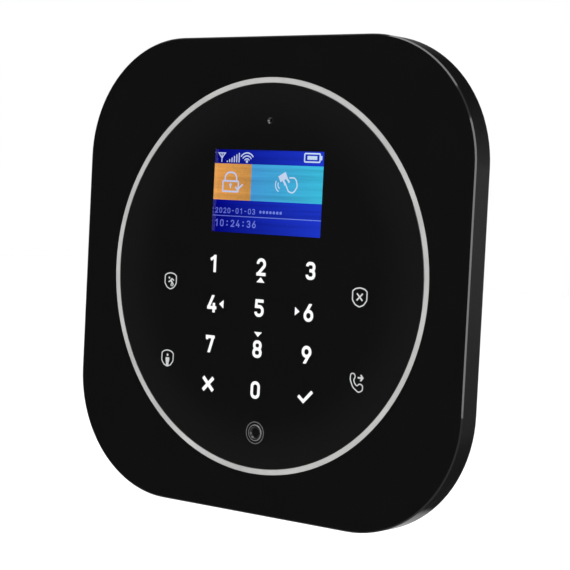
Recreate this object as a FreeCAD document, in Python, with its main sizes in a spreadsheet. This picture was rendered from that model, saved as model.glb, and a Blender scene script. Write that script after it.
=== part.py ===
import FreeCAD, Part
import math
import os
import re

import Sketcher

# Alarm keypad panel that hangs on a wall bracket. Millimetres. The origin is the middle of the
# bracket's wall face, +Z is up, +X is to the right as seen from the room, and the room is at -Y.
# Each body is drawn in its own XY plane with +Z as height above the wall, and FACING stands it up.

DIMENSIONS = {
    # whole panel
    "panel_width": 170,
    "panel_height": 168,
    "corner_radius": 43.6,
    "front_height": 20,
    "side_depth": 8.6,
    "wall_thickness": 2,
    "face_thickness": 2,
    "front_chamfer": 0.45,
    "assembly_gap": 0.2,
    # round light guide and the touch lens inside it
    "opening_radius": 69.65,
    "guide_outer_radius": 69.6,
    "guide_inner_radius": 67.75,
    "guide_flange_outer_radius": 71.8,
    "guide_flange_inner_radius": 66.1,
    "guide_flange_thickness": 0.8,
    "lens_radius": 67.65,
    "lens_thickness": 1.9,
    "lens_flat_radius": 50,
    "lens_dish_depth": 0.35,
    "lens_edge_bevel": 0.15,
    "gasket_inner_radius": 60.6,
    "gasket_outer_radius": 65.6,
    "gasket_thickness": 0.3,
    # display
    "window_width": 48.5,
    "window_height": 29.4,
    "window_corner": 0.3,
    "window_up": 29.4,
    "window_gap": 0.05,
    "lcd_width": 54,
    "lcd_height": 35,
    "lcd_glass_thickness": 1.3,
    "lcd_margin": 0.3,
    "backlight_thickness": 1.4,
    "lcd_hole_margin": 1,
    "lcd_gap": 0.05,
    # microphone
    "mic_up": 54.5,
    "mic_hole_radius": 0.6,
    "mic_countersink": 0.5,
    "mic_seat_radius": 2.3,
    "mic_boot_radius": 2.2,
    "mic_capsule_radius": 2,
    "mic_capsule_depth": 1.5,
    # push button
    "button_down": 55.2,
    "button_hole_radius": 4.1,
    "bezel_radius": 4.0,
    "bezel_bore_radius": 3.15,
    "bezel_flange_radius": 5,
    "bezel_flange_thickness": 0.6,
    "bezel_rim_rise": 0.05,
    "button_radius": 2.95,
    "button_flange_radius": 3.5,
    "button_flange_thickness": 0.5,
    "button_dish_radius": 2.1,
    "button_dish_depth": 0.5,
    "button_rise": 0.2,
    "button_stem_radius": 1.2,
    "button_travel": 0.6,
    "button_seat_radius": 5.4,
    "button_board_width": 11,
    "button_board_height": 9.6,
    "button_board_thickness": 0.8,
    "button_board_low": 13.6,
    "button_post_radius": 0.7,
    "button_post_spread": 4.6,
    "switch_side": 4.6,
    "switch_height": 1.2,
    "switch_plunger_radius": 1,
    "switch_plunger_height": 0.75,
    "switch_plunger_gap": 0.05,
    # layers behind the lens
    "layer_radius": 60,
    "diffuser_thickness": 0.5,
    "touch_board_thickness": 1,
    "key_pitch_across": 21.7,
    "key_pitch_down": 14.35,
    "key_top_row": 3.4,
    "side_key_across": 42,
    "side_key_upper": -4.1,
    "side_key_lower": -32.4,
    "aperture_radius": 1.3,
    "key_led_width": 3.5,
    "key_led_height": 2.8,
    "key_led_thickness": 0.8,
    "rfid_width": 66,
    "rfid_height": 55,
    "rfid_track_width": 3,
    "rfid_thickness": 0.2,
    "rfid_down": 19,
    # carrier and lit ring
    "carrier_inner_radius": 60.4,
    "carrier_rib_radius": 63.8,
    "carrier_outer_radius": 73.5,
    "carrier_thickness": 1,
    "ring_board_inner_radius": 64.2,
    "ring_board_outer_radius": 73.2,
    "ring_board_thickness": 1,
    "ring_led_radius": 68.7,
    "ring_led_width": 3.2,
    "ring_led_depth": 1.6,
    "ring_led_thickness": 0.7,
    "ring_led_count": 24,
    "carrier_ear_width": 8,
    "carrier_boss_offset": 54.5,
    "carrier_boss_radius": 2.8,
    # screws
    "case_boss_offset": 61,
    "case_boss_side": 77.4,
    "case_boss_radius": 3.1,
    "screw_hole_radius": 1.05,
    "screw_radius": 1,
    "screw_head_radius": 2,
    "screw_head_thickness": 0.9,
    "screw_clearance_radius": 1.3,
    "screw_length": 4,
    "carrier_screw_length": 3,
    "screw_bottom_gap": 0.4,
    "screw_recess_length": 2.4,
    "screw_recess_width": 0.5,
    "screw_recess_depth": 0.5,
    # rear cover
    "cover_plate_thickness": 1.8,
    "cover_low": 2,
    "hump_width": 112,
    "hump_height": 112,
    "hump_corner": 14,
    "hump_wall": 2,
    "case_counterbore_radius": 2.4,
    "case_counterbore_depth": 1.1,
    "pillar_across": 48,
    "pillar_up": 46,
    "pillar_radius": 3,
    # hooks and their slots
    "hook_across": 44,
    "hook_upper": 20,
    "hook_lower": -26,
    "hook_width": 6,
    "hook_metal": 1.2,
    "hook_lip": 6.5,
    "hook_reach": 5.6,
    "hook_gap": 0.1,
    "hook_slot_margin": 0.5,
    "lift_travel": 8,
    # wall bracket
    "bracket_width": 100,
    "bracket_height": 92,
    "bracket_metal": 1.2,
    "bracket_corner": 6,
    "wall_screw_across": 30,
    "wall_screw_up": 34,
    "wall_hole_radius": 2.25,
    "sound_window_side": 16,
    "tamper_slot_width": 8,
    "tamper_slot_height": 15,
    "tamper_slot_up": -20,
    "bracket_window_corner": 3,
    # main board and what it carries
    "board_low": 11,
    "board_thickness": 1.6,
    "board_width": 104,
    "board_height": 100,
    "board_corner": 6,
    "gsm_side": 24,
    "gsm_thickness": 2.3,
    "gsm_across": -30,
    "gsm_up": 28,
    "wifi_width": 18,
    "wifi_height": 25.5,
    "wifi_thickness": 2.3,
    "wifi_across": 32,
    "processor_side": 12,
    "processor_thickness": 1.2,
    "processor_up": -12,
    "radio_width": 20,
    "radio_height": 12,
    "radio_thickness": 2,
    "radio_across": 32,
    "radio_up": -36,
    "coil_radius": 2,
    "coil_wire_radius": 0.35,
    "coil_pitch": 1.5,
    "coil_length": 12,
    "coil_up": -45,
    "gsm_antenna_width": 44,
    "gsm_antenna_height": 7,
    "gsm_antenna_thickness": 0.2,
    "gsm_antenna_up": 68,
    "connector_width": 14,
    "connector_depth": 3,
    "connector_height": 1,
    "ribbon_width": 10,
    "ribbon_thickness": 0.2,
    "lcd_connector_up": 7,
    "touch_connector_up": -31,
    "touch_connector_across": 10,
    "ribbon_run": 6,
    # battery
    "battery_width": 72,
    "battery_height": 40,
    "battery_thickness": 5.8,
    "battery_corner": 2,
    "battery_up": 25,
    "battery_low": 4.3,
    "lead_radius": 0.6,
    "lead_rise": 9.4,
    "lead_gap": 1.6,
    "lead_bend": 2.5,
    "plug_width": 5,
    "plug_height": 6,
    "plug_across": 46,
    "plug_up": -2,
    "lead_up": 10,
    # siren
    "siren_across": -17,
    "siren_up": -26,
    "siren_radius": 14,
    "siren_thickness": 5.2,
    "siren_magnet_radius": 8,
    "siren_magnet_thickness": 1.2,
    "siren_seal_inner_radius": 12,
    "siren_seal_thickness": 0.4,
    "grille_slot_width": 1.2,
    "grille_slot_length": 18,
    "grille_pitch": 3,
    # tamper switch
    "tamper_across": 24,
    "tamper_up": -24,
    "tamper_stem_radius": 1.8,
    "tamper_hole_radius": 2.1,
    "tamper_tip": 0.3,
    "tamper_flange_radius": 3,
    "tamper_flange_thickness": 0.8,
    "tamper_flange_low": 4.3,
    "tamper_pin_radius": 1,
    "tamper_pin_top": 9,
    "tamper_switch_side": 8,
    "tamper_switch_low": 9.4,
    "tamper_switch_bore": 1.3,
    "spring_radius": 1.8,
    "spring_wire_radius": 0.2,
    "spring_pitch": 0.8,
    # power switch
    "power_across": -14,
    "power_up": -50.2,
    "power_body_width": 9,
    "power_body_height": 5,
    "power_body_low": 7.2,
    "power_knob_width": 2,
    "power_knob_thickness": 1.6,
    "power_knob_low": 8.3,
    "power_knob_end": -56.2,
    "power_travel": 2,
    "power_slot_margin": 0.4,
    # SIM card
    "sim_width": 15,
    "sim_height": 12,
    "sim_thickness": 0.76,
    "sim_notch": 2,
    "sim_low": 9.5,
    "sim_up": -2,
    "sim_end": -55.2,
    "sim_gap": 0.15,
    "sim_socket_width": 14,
    "sim_socket_height": 15,
    "sim_socket_low": 8.7,
    # USB-C power inlet
    "usb_across": 18,
    "usb_width": 8.94,
    "usb_height": 3.26,
    "usb_skin": 0.3,
    "usb_side_straight": 0.01,
    "usb_depth": 7.3,
    "usb_end": -55.6,
    "usb_tongue_width": 6.7,
    "usb_tongue_thickness": 0.7,
    "usb_tongue_length": 5,
    "usb_back_thickness": 1,
    "usb_cut_margin": 0.35,
}

# Levels in the stack, as heights above the wall
FRAME_BACK = "front_height - side_depth"
FACE_BACK = "front_height - face_thickness"
LENS_CENTRE = "front_height - lens_dish_depth"
LENS_BACK = "front_height - lens_thickness"
GASKET_BACK = f"{LENS_BACK} - gasket_thickness"
GUIDE_BACK = f"{GASKET_BACK} - guide_flange_thickness"
RING_LED_BACK = f"{GUIDE_BACK} - ring_led_thickness"
RING_BOARD_BACK = f"{RING_LED_BACK} - ring_board_thickness"
CARRIER_BACK = f"{RING_BOARD_BACK} - carrier_thickness"
DIFFUSER_BACK = f"{LENS_BACK} - diffuser_thickness"
TOUCH_BACK = f"{DIFFUSER_BACK} - touch_board_thickness"
LCD_BACK = f"{LENS_BACK} - lcd_gap - lcd_glass_thickness"
BACKLIGHT_BACK = f"{LCD_BACK} - backlight_thickness"
COVER_TOP = f"{FRAME_BACK} + cover_plate_thickness"
COVER_INSIDE = "cover_low + hump_wall"
BOARD_TOP = "board_low + board_thickness"
BUTTON_BOARD_TOP = "button_board_low + button_board_thickness"
SWITCH_TOP = f"{BUTTON_BOARD_TOP} + switch_height"
PLUNGER_TOP = f"{SWITCH_TOP} + switch_plunger_height"

FACING = FreeCAD.Rotation(FreeCAD.Vector(1, 0, 0), 90)
FORWARD = FreeCAD.Vector(0, 0, 1)
PICK_ROOM = 0.1  # room, in mm, when edges are picked by where they are

doc = FreeCAD.newDocument("AlarmKeypadPanel")
sheet = doc.addObject("Spreadsheet::Sheet", "Dims")
for row, (alias, number) in enumerate(DIMENSIONS.items(), start=1):
    sheet.set(f"A{row}", alias)
    sheet.set(f"B{row}", str(number))
    sheet.setAlias(f"B{row}", alias)
doc.recompute()


# ---------------------------------------------------------------- expressions and sketches


def cells(text):
    """Writes a sum of the sheet's aliases out in full, as FreeCAD reads it."""
    return re.sub(r"[a-z_]+", r"Dims.\g<0>", text)


def value(text):
    """The number that such a sum gives."""
    return float(sheet.evalExpression(cells(text)))


def minus(text):
    return f"-({text})"


def start_body(label, x="0", z="0", turn=FACING):
    """An empty body at a place on the panel."""
    body = doc.addObject("PartDesign::Body", label)
    body.Label = label
    body.Placement = FreeCAD.Placement(FreeCAD.Vector(value(x), 0, value(z)), turn)
    body.setExpression("Placement.Base.x", cells(x))
    body.setExpression("Placement.Base.z", cells(z))
    return body


def start_sketch(body, height="0", role="XY_Plane"):
    """An empty sketch on one of the body's own origin planes, lifted off it by height."""
    plane = next(f for f in body.Origin.OriginFeatures if f.Role == role)
    sketch = body.newObject("Sketcher::SketchObject", body.Label + "_sketch")
    sketch.AttachmentSupport = [(plane, "")]
    sketch.MapMode = "FlatFace"
    sketch.setExpression("AttachmentOffset.Base.z", cells(height))
    return sketch


def constrain(sketch, text, kind, *where):
    """A dimension of the sketch that follows the sheet."""
    index = sketch.addConstraint(Sketcher.Constraint(kind, *where, value(text)))
    sketch.setExpression(f"Constraints[{index}]", cells(text))


def pin(sketch, geometry, vertex, x, y):
    """Holds one vertex of the sketch at a place given by the sheet."""
    constrain(sketch, x, "DistanceX", -1, 1, geometry, vertex)
    constrain(sketch, y, "DistanceY", -1, 1, geometry, vertex)


def circle(sketch, radius, x="0", y="0"):
    centre = FreeCAD.Vector(value(x), value(y), 0)
    index = sketch.addGeometry(Part.Circle(centre, FORWARD, value(radius)), False)
    constrain(sketch, radius, "Radius", index)
    pin(sketch, index, 3, x, y)
    return index


def polygon(sketch, points):
    """A closed outline of straight runs."""
    corners = [FreeCAD.Vector(value(x), value(y), 0) for x, y in points]
    first = sketch.GeometryCount
    for start, end in zip(corners, corners[1:] + corners[:1]):
        sketch.addGeometry(Part.LineSegment(start, end), False)
    for i, (x, y) in enumerate(points):
        before = first + (i - 1) % len(points)
        sketch.addConstraint(Sketcher.Constraint("Coincident", before, 2, first + i, 1))
        pin(sketch, first + i, 1, x, y)


def rectangle(sketch, width, height, x="0", y="0"):
    left, right = f"{x} - ({width}) / 2", f"{x} + ({width}) / 2"
    low, high = f"{y} - ({height}) / 2", f"{y} + ({height}) / 2"
    polygon(sketch, [(left, low), (right, low), (right, high), (left, high)])


def rounded_rectangle(sketch, width, height, radius, x="0", y="0"):
    """Four straight sides joined by tangent quarter circles."""
    reach_x = value(width) / 2 - value(radius)
    reach_y = value(height) / 2 - value(radius)
    arcs = []
    for quarter, (side_x, side_y) in enumerate([(1, -1), (1, 1), (-1, 1), (-1, -1)]):
        middle = FreeCAD.Vector(value(x) + side_x * reach_x, value(y) + side_y * reach_y, 0)
        start = math.radians(90 * (quarter - 1))
        arc = Part.ArcOfCircle(
            Part.Circle(middle, FORWARD, value(radius)), start, start + math.pi / 2
        )
        arcs.append(sketch.addGeometry(arc, False))
    lines = []
    for arc, following in zip(arcs, arcs[1:] + arcs[:1]):
        run = Part.LineSegment(sketch.Geometry[arc].EndPoint, sketch.Geometry[following].StartPoint)
        lines.append(sketch.addGeometry(run, False))
        sketch.addConstraint(Sketcher.Constraint("Tangent", arc, 2, lines[-1], 1))
        sketch.addConstraint(Sketcher.Constraint("Tangent", lines[-1], 2, following, 1))
    right, top, left, bottom = lines
    for line, kind in ((right, "Vertical"), (left, "Vertical")):
        sketch.addConstraint(Sketcher.Constraint(kind, line))
    for line, kind in ((top, "Horizontal"), (bottom, "Horizontal")):
        sketch.addConstraint(Sketcher.Constraint(kind, line))
    for arc in arcs[1:]:
        sketch.addConstraint(Sketcher.Constraint("Equal", arcs[0], arc))
    constrain(sketch, radius, "Radius", arcs[0])
    constrain(sketch, width, "DistanceX", left, 1, right, 1)
    constrain(sketch, height, "DistanceY", bottom, 1, top, 1)
    constrain(sketch, f"{x} - ({width}) / 2", "DistanceX", -1, 1, left, 1)
    constrain(sketch, f"{y} - ({height}) / 2", "DistanceY", -1, 1, bottom, 1)


# ---------------------------------------------------------------- features


def pad(body, sketch, length):
    """Adds material from the sketch towards the room."""
    feature = body.newObject("PartDesign::Pad", body.Label + "_pad")
    feature.Profile = sketch
    feature.setExpression("Length", cells(length))
    body.Tip = feature
    return feature


def pocket(body, sketch, depth):
    """Cuts from the sketch towards the room."""
    feature = body.newObject("PartDesign::Pocket", body.Label + "_pocket")
    feature.Profile = sketch
    feature.Reversed = True
    feature.setExpression("Length", cells(depth))
    body.Tip = feature
    return feature


def add_rounds(body, low, length, radius, places):
    sketch = start_sketch(body, low)
    for x, y in places:
        circle(sketch, radius, x, y)
    return pad(body, sketch, length)


def cut_rounds(body, low, depth, radius, places=(("0", "0"),)):
    sketch = start_sketch(body, low)
    for x, y in places:
        circle(sketch, radius, x, y)
    return pocket(body, sketch, depth)


def cut_rectangles(body, low, depth, width, height, places=(("0", "0"),)):
    sketch = start_sketch(body, low)
    for x, y in places:
        rectangle(sketch, width, height, x, y)
    return pocket(body, sketch, depth)


def chamfer(body, size, wanted):
    """Bevels the edges of the body's last feature that wanted(edge) picks."""
    doc.recompute()
    base = body.Tip
    names = [f"Edge{i}" for i, edge in enumerate(base.Shape.Edges, 1) if wanted(edge)]
    feature = body.newObject("PartDesign::Chamfer", body.Label + "_bevel")
    feature.Base = (base, names)
    feature.setExpression("Size", cells(size))
    body.Tip = feature
    return feature


def at_height(edge, text):
    """True if the whole edge lies at that height above the wall."""
    level = value(text)
    return all(abs(vertex.Point.z - level) < 1e-6 for vertex in edge.Vertexes)


def is_round(edge, text):
    """True if the edge is a circle of that radius."""
    curve = edge.Curve
    return isinstance(curve, Part.Circle) and abs(curve.Radius - value(text)) < 1e-6


def block(label, width, height, low, thickness, x="0", z="0"):
    """A rectangular piece."""
    body = start_body(label, x, z)
    sketch = start_sketch(body, low)
    rectangle(sketch, width, height)
    pad(body, sketch, thickness)
    return body


def slab(label, width, height, corner, low, thickness, x="0", z="0"):
    """A rectangular piece with rounded corners."""
    body = start_body(label, x, z)
    sketch = start_sketch(body, low)
    rounded_rectangle(sketch, width, height, corner)
    pad(body, sketch, thickness)
    return body


def disc(label, radius, low, thickness, x="0", z="0", bore=None):
    """A round piece, with a hole through its middle if bore is given."""
    body = start_body(label, x, z)
    sketch = start_sketch(body, low)
    circle(sketch, radius)
    if bore:
        circle(sketch, bore)
    pad(body, sketch, thickness)
    return body


def turned(label, profile, x="0", z="0"):
    """A lathe-shaped piece: its profile is a list of (radius, height above the wall)."""
    body = start_body(label, x, z)
    sketch = start_sketch(body, role="XZ_Plane")
    polygon(sketch, profile)
    revolve(body, sketch)
    return body


def revolve(body, sketch):
    feature = body.newObject("PartDesign::Revolution", body.Label + "_turning")
    feature.Profile = sketch
    feature.ReferenceAxis = (sketch, ["V_Axis"])
    feature.Angle = 360
    body.Tip = feature
    return feature


def coil(label, radius, wire, pitch, low, height, x="0", z="0", turn=FACING):
    """A helical spring or aerial."""
    body = start_body(label, x, z, turn)
    sketch = start_sketch(body, role="XZ_Plane")
    circle(sketch, wire, radius, low)
    feature = body.newObject("PartDesign::AdditiveHelix", label + "_coil")
    feature.Profile = sketch
    feature.ReferenceAxis = (sketch, ["V_Axis"])
    feature.Mode = 0
    feature.setExpression("Pitch", cells(pitch))
    feature.setExpression("Height", cells(height))
    body.Tip = feature
    return body


def mirrored_places(x, y):
    """A place and its mirror images left, below and opposite."""
    return [(x, y), (minus(x), y), (minus(x), minus(y)), (x, minus(y))]


# Where things repeat
CASE_BOSSES = mirrored_places("case_boss_offset", "case_boss_offset")
CASE_BOSSES += [("case_boss_side", "0"), (minus("case_boss_side"), "0")]
CARRIER_BOSSES = mirrored_places("carrier_boss_offset", "carrier_boss_offset")
PILLARS = mirrored_places("pillar_across", "pillar_up")
WALL_SCREWS = mirrored_places("wall_screw_across", "wall_screw_up")
HOOKS = [
    (x, y) for x in ("hook_across", minus("hook_across")) for y in ("hook_upper", "hook_lower")
]
KEYS = [
    (x, f"key_top_row - {row} * key_pitch_down")
    for row in range(4)
    for x in (minus("key_pitch_across"), "0", "key_pitch_across")
]
SIDE_KEYS = [
    (x, y)
    for x in (minus("side_key_across"), "side_key_across")
    for y in ("side_key_upper", "side_key_lower")
]


# ---------------------------------------------------------------- casing


def front_frame():
    """Glossy outer tray: a rounded-square front with a round opening, and the side wall."""
    body = start_body("front_frame")
    sketch = start_sketch(body, FRAME_BACK)
    rounded_rectangle(sketch, "panel_width", "panel_height", "corner_radius")
    pad(body, sketch, "side_depth")
    sketch = start_sketch(body, FRAME_BACK)
    rounded_rectangle(
        sketch,
        "panel_width - 2 * wall_thickness",
        "panel_height - 2 * wall_thickness",
        "corner_radius - wall_thickness",
    )
    pocket(body, sketch, "side_depth - face_thickness")
    cut_rounds(body, FACE_BACK, "face_thickness", "opening_radius")
    chamfer(
        body,
        "front_chamfer",
        lambda edge: at_height(edge, "front_height") and not is_round(edge, "opening_radius"),
    )
    boss_low = COVER_TOP
    add_rounds(body, boss_low, f"{FACE_BACK} - ({boss_low})", "case_boss_radius", CASE_BOSSES)
    cut_rounds(
        body, boss_low, "screw_length + screw_bottom_gap", "screw_hole_radius", CASE_BOSSES
    )
    boss_low = RING_BOARD_BACK
    add_rounds(
        body, boss_low, f"{FACE_BACK} - ({boss_low})", "carrier_boss_radius", CARRIER_BOSSES
    )
    boss_hole = f"{FACE_BACK} - ({boss_low}) - screw_bottom_gap"
    cut_rounds(body, boss_low, boss_hole, "screw_hole_radius", CARRIER_BOSSES)


def light_guide_ring():
    """Frosted ring with a flange that the frame and the lens hold down."""
    turned(
        "light_guide_ring",
        [
            ("guide_flange_inner_radius", GUIDE_BACK),
            ("guide_flange_outer_radius", GUIDE_BACK),
            ("guide_flange_outer_radius", GASKET_BACK),
            ("guide_outer_radius", GASKET_BACK),
            ("guide_outer_radius", "front_height"),
            ("guide_inner_radius", "front_height"),
            ("guide_inner_radius", GASKET_BACK),
            ("guide_flange_inner_radius", GASKET_BACK),
        ],
    )


def touch_lens():
    """Black touch disc: flat in the middle, rising a little to its edge."""
    body = start_body("touch_lens")
    sketch = start_sketch(body, role="XZ_Plane")
    flat, rim = value("lens_flat_radius"), value("lens_radius - lens_edge_bevel")
    low, high = value(LENS_CENTRE), value("front_height")
    dish = ((rim - flat) ** 2 + (high - low) ** 2) / (2 * (high - low))
    middle = FreeCAD.Vector(flat, low + dish, 0)
    sweep = math.asin((rim - flat) / dish)
    curve = Part.ArcOfCircle(
        Part.Circle(middle, FORWARD, dish), -math.pi / 2, -math.pi / 2 + sweep
    )
    points = [
        ("lens_flat_radius", LENS_CENTRE),
        ("0", LENS_CENTRE),
        ("0", LENS_BACK),
        ("lens_radius", LENS_BACK),
        ("lens_radius", "front_height - lens_edge_bevel"),
        ("lens_radius - lens_edge_bevel", "front_height"),
    ]
    corners = [FreeCAD.Vector(value(x), value(y), 0) for x, y in points]
    arc = sketch.addGeometry(curve, False)
    lines = [
        sketch.addGeometry(Part.LineSegment(start, end), False)
        for start, end in zip(corners, corners[1:])
    ]
    for before, after in zip(lines, lines[1:]):
        sketch.addConstraint(Sketcher.Constraint("Coincident", before, 2, after, 1))
    for line, (x, y) in zip(lines, points):
        pin(sketch, line, 1, x, y)
    pin(sketch, lines[-1], 2, *points[-1])
    sketch.addConstraint(Sketcher.Constraint("Coincident", lines[-1], 2, arc, 2))
    sketch.addConstraint(Sketcher.Constraint("Tangent", arc, 1, lines[0], 1))
    revolve(body, sketch)
    sketch = start_sketch(body, LENS_BACK)
    rounded_rectangle(
        sketch, "window_width", "window_height", "window_corner", "0", "window_up"
    )
    pocket(body, sketch, "lens_thickness")
    cut_rounds(
        body, LENS_BACK, "lens_thickness", "button_hole_radius", [("0", minus("button_down"))]
    )
    cut_rounds(body, LENS_BACK, "lens_thickness", "mic_hole_radius", [("0", "mic_up")])
    mic_edge = value(LENS_BACK) + PICK_ROOM
    mic_width = value("2 * mic_hole_radius") + PICK_ROOM
    flat_edge = value("lens_flat_radius")
    chamfer(
        body,
        "mic_countersink",
        lambda edge: edge.BoundBox.ZMin > mic_edge and edge.BoundBox.XLength < mic_width
        and edge.BoundBox.YMin > flat_edge,
    )


def display_window():
    slab(
        "display_window",
        "window_width - 2 * window_gap",
        "window_height - 2 * window_gap",
        "window_corner - window_gap",
        LENS_BACK,
        f"{LENS_CENTRE} - ({LENS_BACK})",
        z="window_up",
    )


def rear_cover():
    """Back plate of the tray with the hump that holds the electronics off the wall."""
    body = start_body("rear_cover")
    inset = "wall_thickness + assembly_gap"
    sketch = start_sketch(body, FRAME_BACK)
    rounded_rectangle(
        sketch,
        f"panel_width - 2 * ({inset})",
        f"panel_height - 2 * ({inset})",
        f"corner_radius - ({inset})",
    )
    pad(body, sketch, "cover_plate_thickness")
    sketch = start_sketch(body, "cover_low")
    rounded_rectangle(sketch, "hump_width", "hump_height", "hump_corner")
    pad(body, sketch, f"{FRAME_BACK} - cover_low")
    chamfer(body, "front_chamfer", lambda edge: at_height(edge, "cover_low"))
    sketch = start_sketch(body, COVER_INSIDE)
    rounded_rectangle(
        sketch,
        "hump_width - 2 * hump_wall",
        "hump_height - 2 * hump_wall",
        "hump_corner - hump_wall",
    )
    pocket(body, sketch, f"{COVER_TOP} - ({COVER_INSIDE})")
    add_rounds(body, COVER_INSIDE, f"board_low - ({COVER_INSIDE})", "pillar_radius", PILLARS)
    cut_rounds(
        body,
        "board_low - screw_length",
        "screw_length",
        "screw_hole_radius",
        PILLARS,
    )
    cut_rounds(body, FRAME_BACK, "cover_plate_thickness", "screw_clearance_radius", CASE_BOSSES)
    cut_rounds(
        body, FRAME_BACK, "case_counterbore_depth", "case_counterbore_radius", CASE_BOSSES
    )
    # each slot lets its hook's neck run down by the lift travel and its lip pass through
    slot_height = "hook_metal + lift_travel + hook_gap + hook_slot_margin"
    slots = [(x, f"{y} + hook_gap - ({slot_height}) / 2") for x, y in HOOKS]
    slot_width = "hook_width + 2 * hook_slot_margin"
    cut_rectangles(body, "cover_low", "hump_wall", slot_width, slot_height, slots)
    grille = [
        (f"siren_across + {step} * grille_pitch", "siren_up") for step in range(-3, 4)
    ]
    cut_rectangles(
        body, "cover_low", "hump_wall", "grille_slot_width", "grille_slot_length", grille
    )
    cut_rounds(
        body, "cover_low", "hump_wall", "tamper_hole_radius", [("tamper_across", "tamper_up")]
    )
    cut_edge_openings(body)


def cut_edge_openings(body):
    """Openings in the hump's sides for the USB socket, the power switch and the SIM card."""
    wall_middle = "(hump_height - hump_wall) / 2"
    usb_width = "usb_width + 2 * usb_cut_margin"
    cut_rectangles(
        body,
        "board_low - usb_height - usb_cut_margin",
        "usb_height + usb_cut_margin",
        usb_width,
        "hump_wall",
        [("usb_across", minus(wall_middle))],
    )
    cut_rectangles(
        body,
        "power_knob_low - power_slot_margin",
        "power_knob_thickness + 2 * power_slot_margin",
        "power_knob_width + power_travel + 2 * power_slot_margin",
        "hump_wall",
        [("power_across + power_travel / 2", minus(wall_middle))],
    )
    cut_rectangles(
        body,
        "sim_low - 2 * sim_gap",
        "sim_thickness + 4 * sim_gap",
        "hump_wall",
        "sim_height + 4 * sim_gap",
        [(minus(wall_middle), "sim_up")],
    )


def wall_bracket():
    """Pressed steel plate with four hooks that point up behind the cover's slots."""
    body = start_body("wall_bracket")
    sketch = start_sketch(body)
    rounded_rectangle(sketch, "bracket_width", "bracket_height", "bracket_corner")
    pad(body, sketch, "bracket_metal")
    sketch = start_sketch(body)
    for x, y in HOOKS:
        rectangle(sketch, "hook_width", "hook_metal", x, f"{y} - hook_metal / 2")
    pad(body, sketch, "hook_reach")
    sketch = start_sketch(body, "hook_reach - hook_metal")
    for x, y in HOOKS:
        rectangle(
            sketch,
            "hook_width",
            "hook_lip + hook_metal",
            x,
            f"{y} + (hook_lip - hook_metal) / 2",
        )
    pad(body, sketch, "hook_metal")
    cut_rounds(body, "0", "bracket_metal", "wall_hole_radius", WALL_SCREWS)
    sketch = start_sketch(body)
    rounded_rectangle(
        sketch,
        "sound_window_side",
        "sound_window_side",
        "bracket_window_corner",
        "siren_across",
        "siren_up",
    )
    rounded_rectangle(
        sketch,
        "tamper_slot_width",
        "tamper_slot_height",
        "bracket_window_corner",
        "tamper_across",
        "tamper_slot_up",
    )
    pocket(body, sketch, "bracket_metal")


def screws(label, places, head_low, length="screw_length", head_faces_wall=True):
    """Cross-head screws, all alike, each a separate solid."""
    body = start_body(label)
    add_rounds(body, head_low, "screw_head_thickness", "screw_head_radius", places)
    if head_faces_wall:
        shank_low = f"{head_low} + screw_head_thickness"
        recess_low = head_low
    else:
        shank_low = f"{head_low} - {length}"
        recess_low = f"{head_low} + screw_head_thickness - screw_recess_depth"
    add_rounds(body, shank_low, length, "screw_radius", places)
    arms = ("screw_recess_length", "screw_recess_width")
    for width, height in (arms, arms[::-1]):
        cut_rectangles(body, recess_low, "screw_recess_depth", width, height, places)


def case_fasteners():
    screws(
        "case_screws",
        CASE_BOSSES,
        f"{FRAME_BACK} + case_counterbore_depth - screw_head_thickness",
    )
    screws(
        "carrier_screws",
        CARRIER_BOSSES,
        f"{CARRIER_BACK} - screw_head_thickness",
        "carrier_screw_length",
    )
    screws("board_screws", PILLARS, BOARD_TOP, head_faces_wall=False)


# ---------------------------------------------------------------- lit ring and lens seat


def carrier_frame():
    """Inner ring that clamps the light guide and carries the lens."""
    body = start_body("carrier_frame")
    sketch = start_sketch(body, role="XZ_Plane")
    polygon(
        sketch,
        [
            ("carrier_inner_radius", CARRIER_BACK),
            ("carrier_outer_radius", CARRIER_BACK),
            ("carrier_outer_radius", RING_BOARD_BACK),
            ("carrier_rib_radius", RING_BOARD_BACK),
            ("carrier_rib_radius", GASKET_BACK),
            ("carrier_inner_radius", GASKET_BACK),
        ],
    )
    revolve(body, sketch)
    sketch = start_sketch(body, CARRIER_BACK)
    # each ear is a square around its boss that overlaps the ring
    for x, y in CARRIER_BOSSES:
        rectangle(sketch, "carrier_ear_width", "carrier_ear_width", x, y)
    pad(body, sketch, "carrier_thickness")
    cut_rounds(
        body, CARRIER_BACK, "carrier_thickness", "screw_clearance_radius", CARRIER_BOSSES
    )


def ring_lights():
    disc(
        "ring_led_board",
        "ring_board_outer_radius",
        RING_BOARD_BACK,
        "ring_board_thickness",
        bore="ring_board_inner_radius",
    )
    body = start_body("ring_leds")
    sketch = start_sketch(body, RING_LED_BACK)
    rectangle(sketch, "ring_led_depth", "ring_led_width", "ring_led_radius", "0")
    first = pad(body, sketch, "ring_led_thickness")
    pattern = body.newObject("PartDesign::PolarPattern", "ring_leds_around")
    pattern.Originals = [first]
    pattern.Axis = (sketch, ["N_Axis"])
    pattern.Angle = 360
    pattern.setExpression("Occurrences", cells("ring_led_count"))
    body.Tip = pattern


def lens_gasket():
    disc(
        "lens_gasket",
        "gasket_outer_radius",
        GASKET_BACK,
        "gasket_thickness",
        bore="gasket_inner_radius",
    )


# ---------------------------------------------------------------- layers behind the lens


def cut_layer(body, low, thickness):
    """The openings that every layer behind the lens has."""
    sketch = start_sketch(body, low)
    margin = "2 * lcd_hole_margin"
    rectangle(sketch, f"lcd_width + {margin}", f"lcd_height + {margin}", "0", "window_up")
    circle(sketch, "button_seat_radius", "0", minus("button_down"))
    circle(sketch, "mic_seat_radius", "0", "mic_up")
    pocket(body, sketch, thickness)


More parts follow.
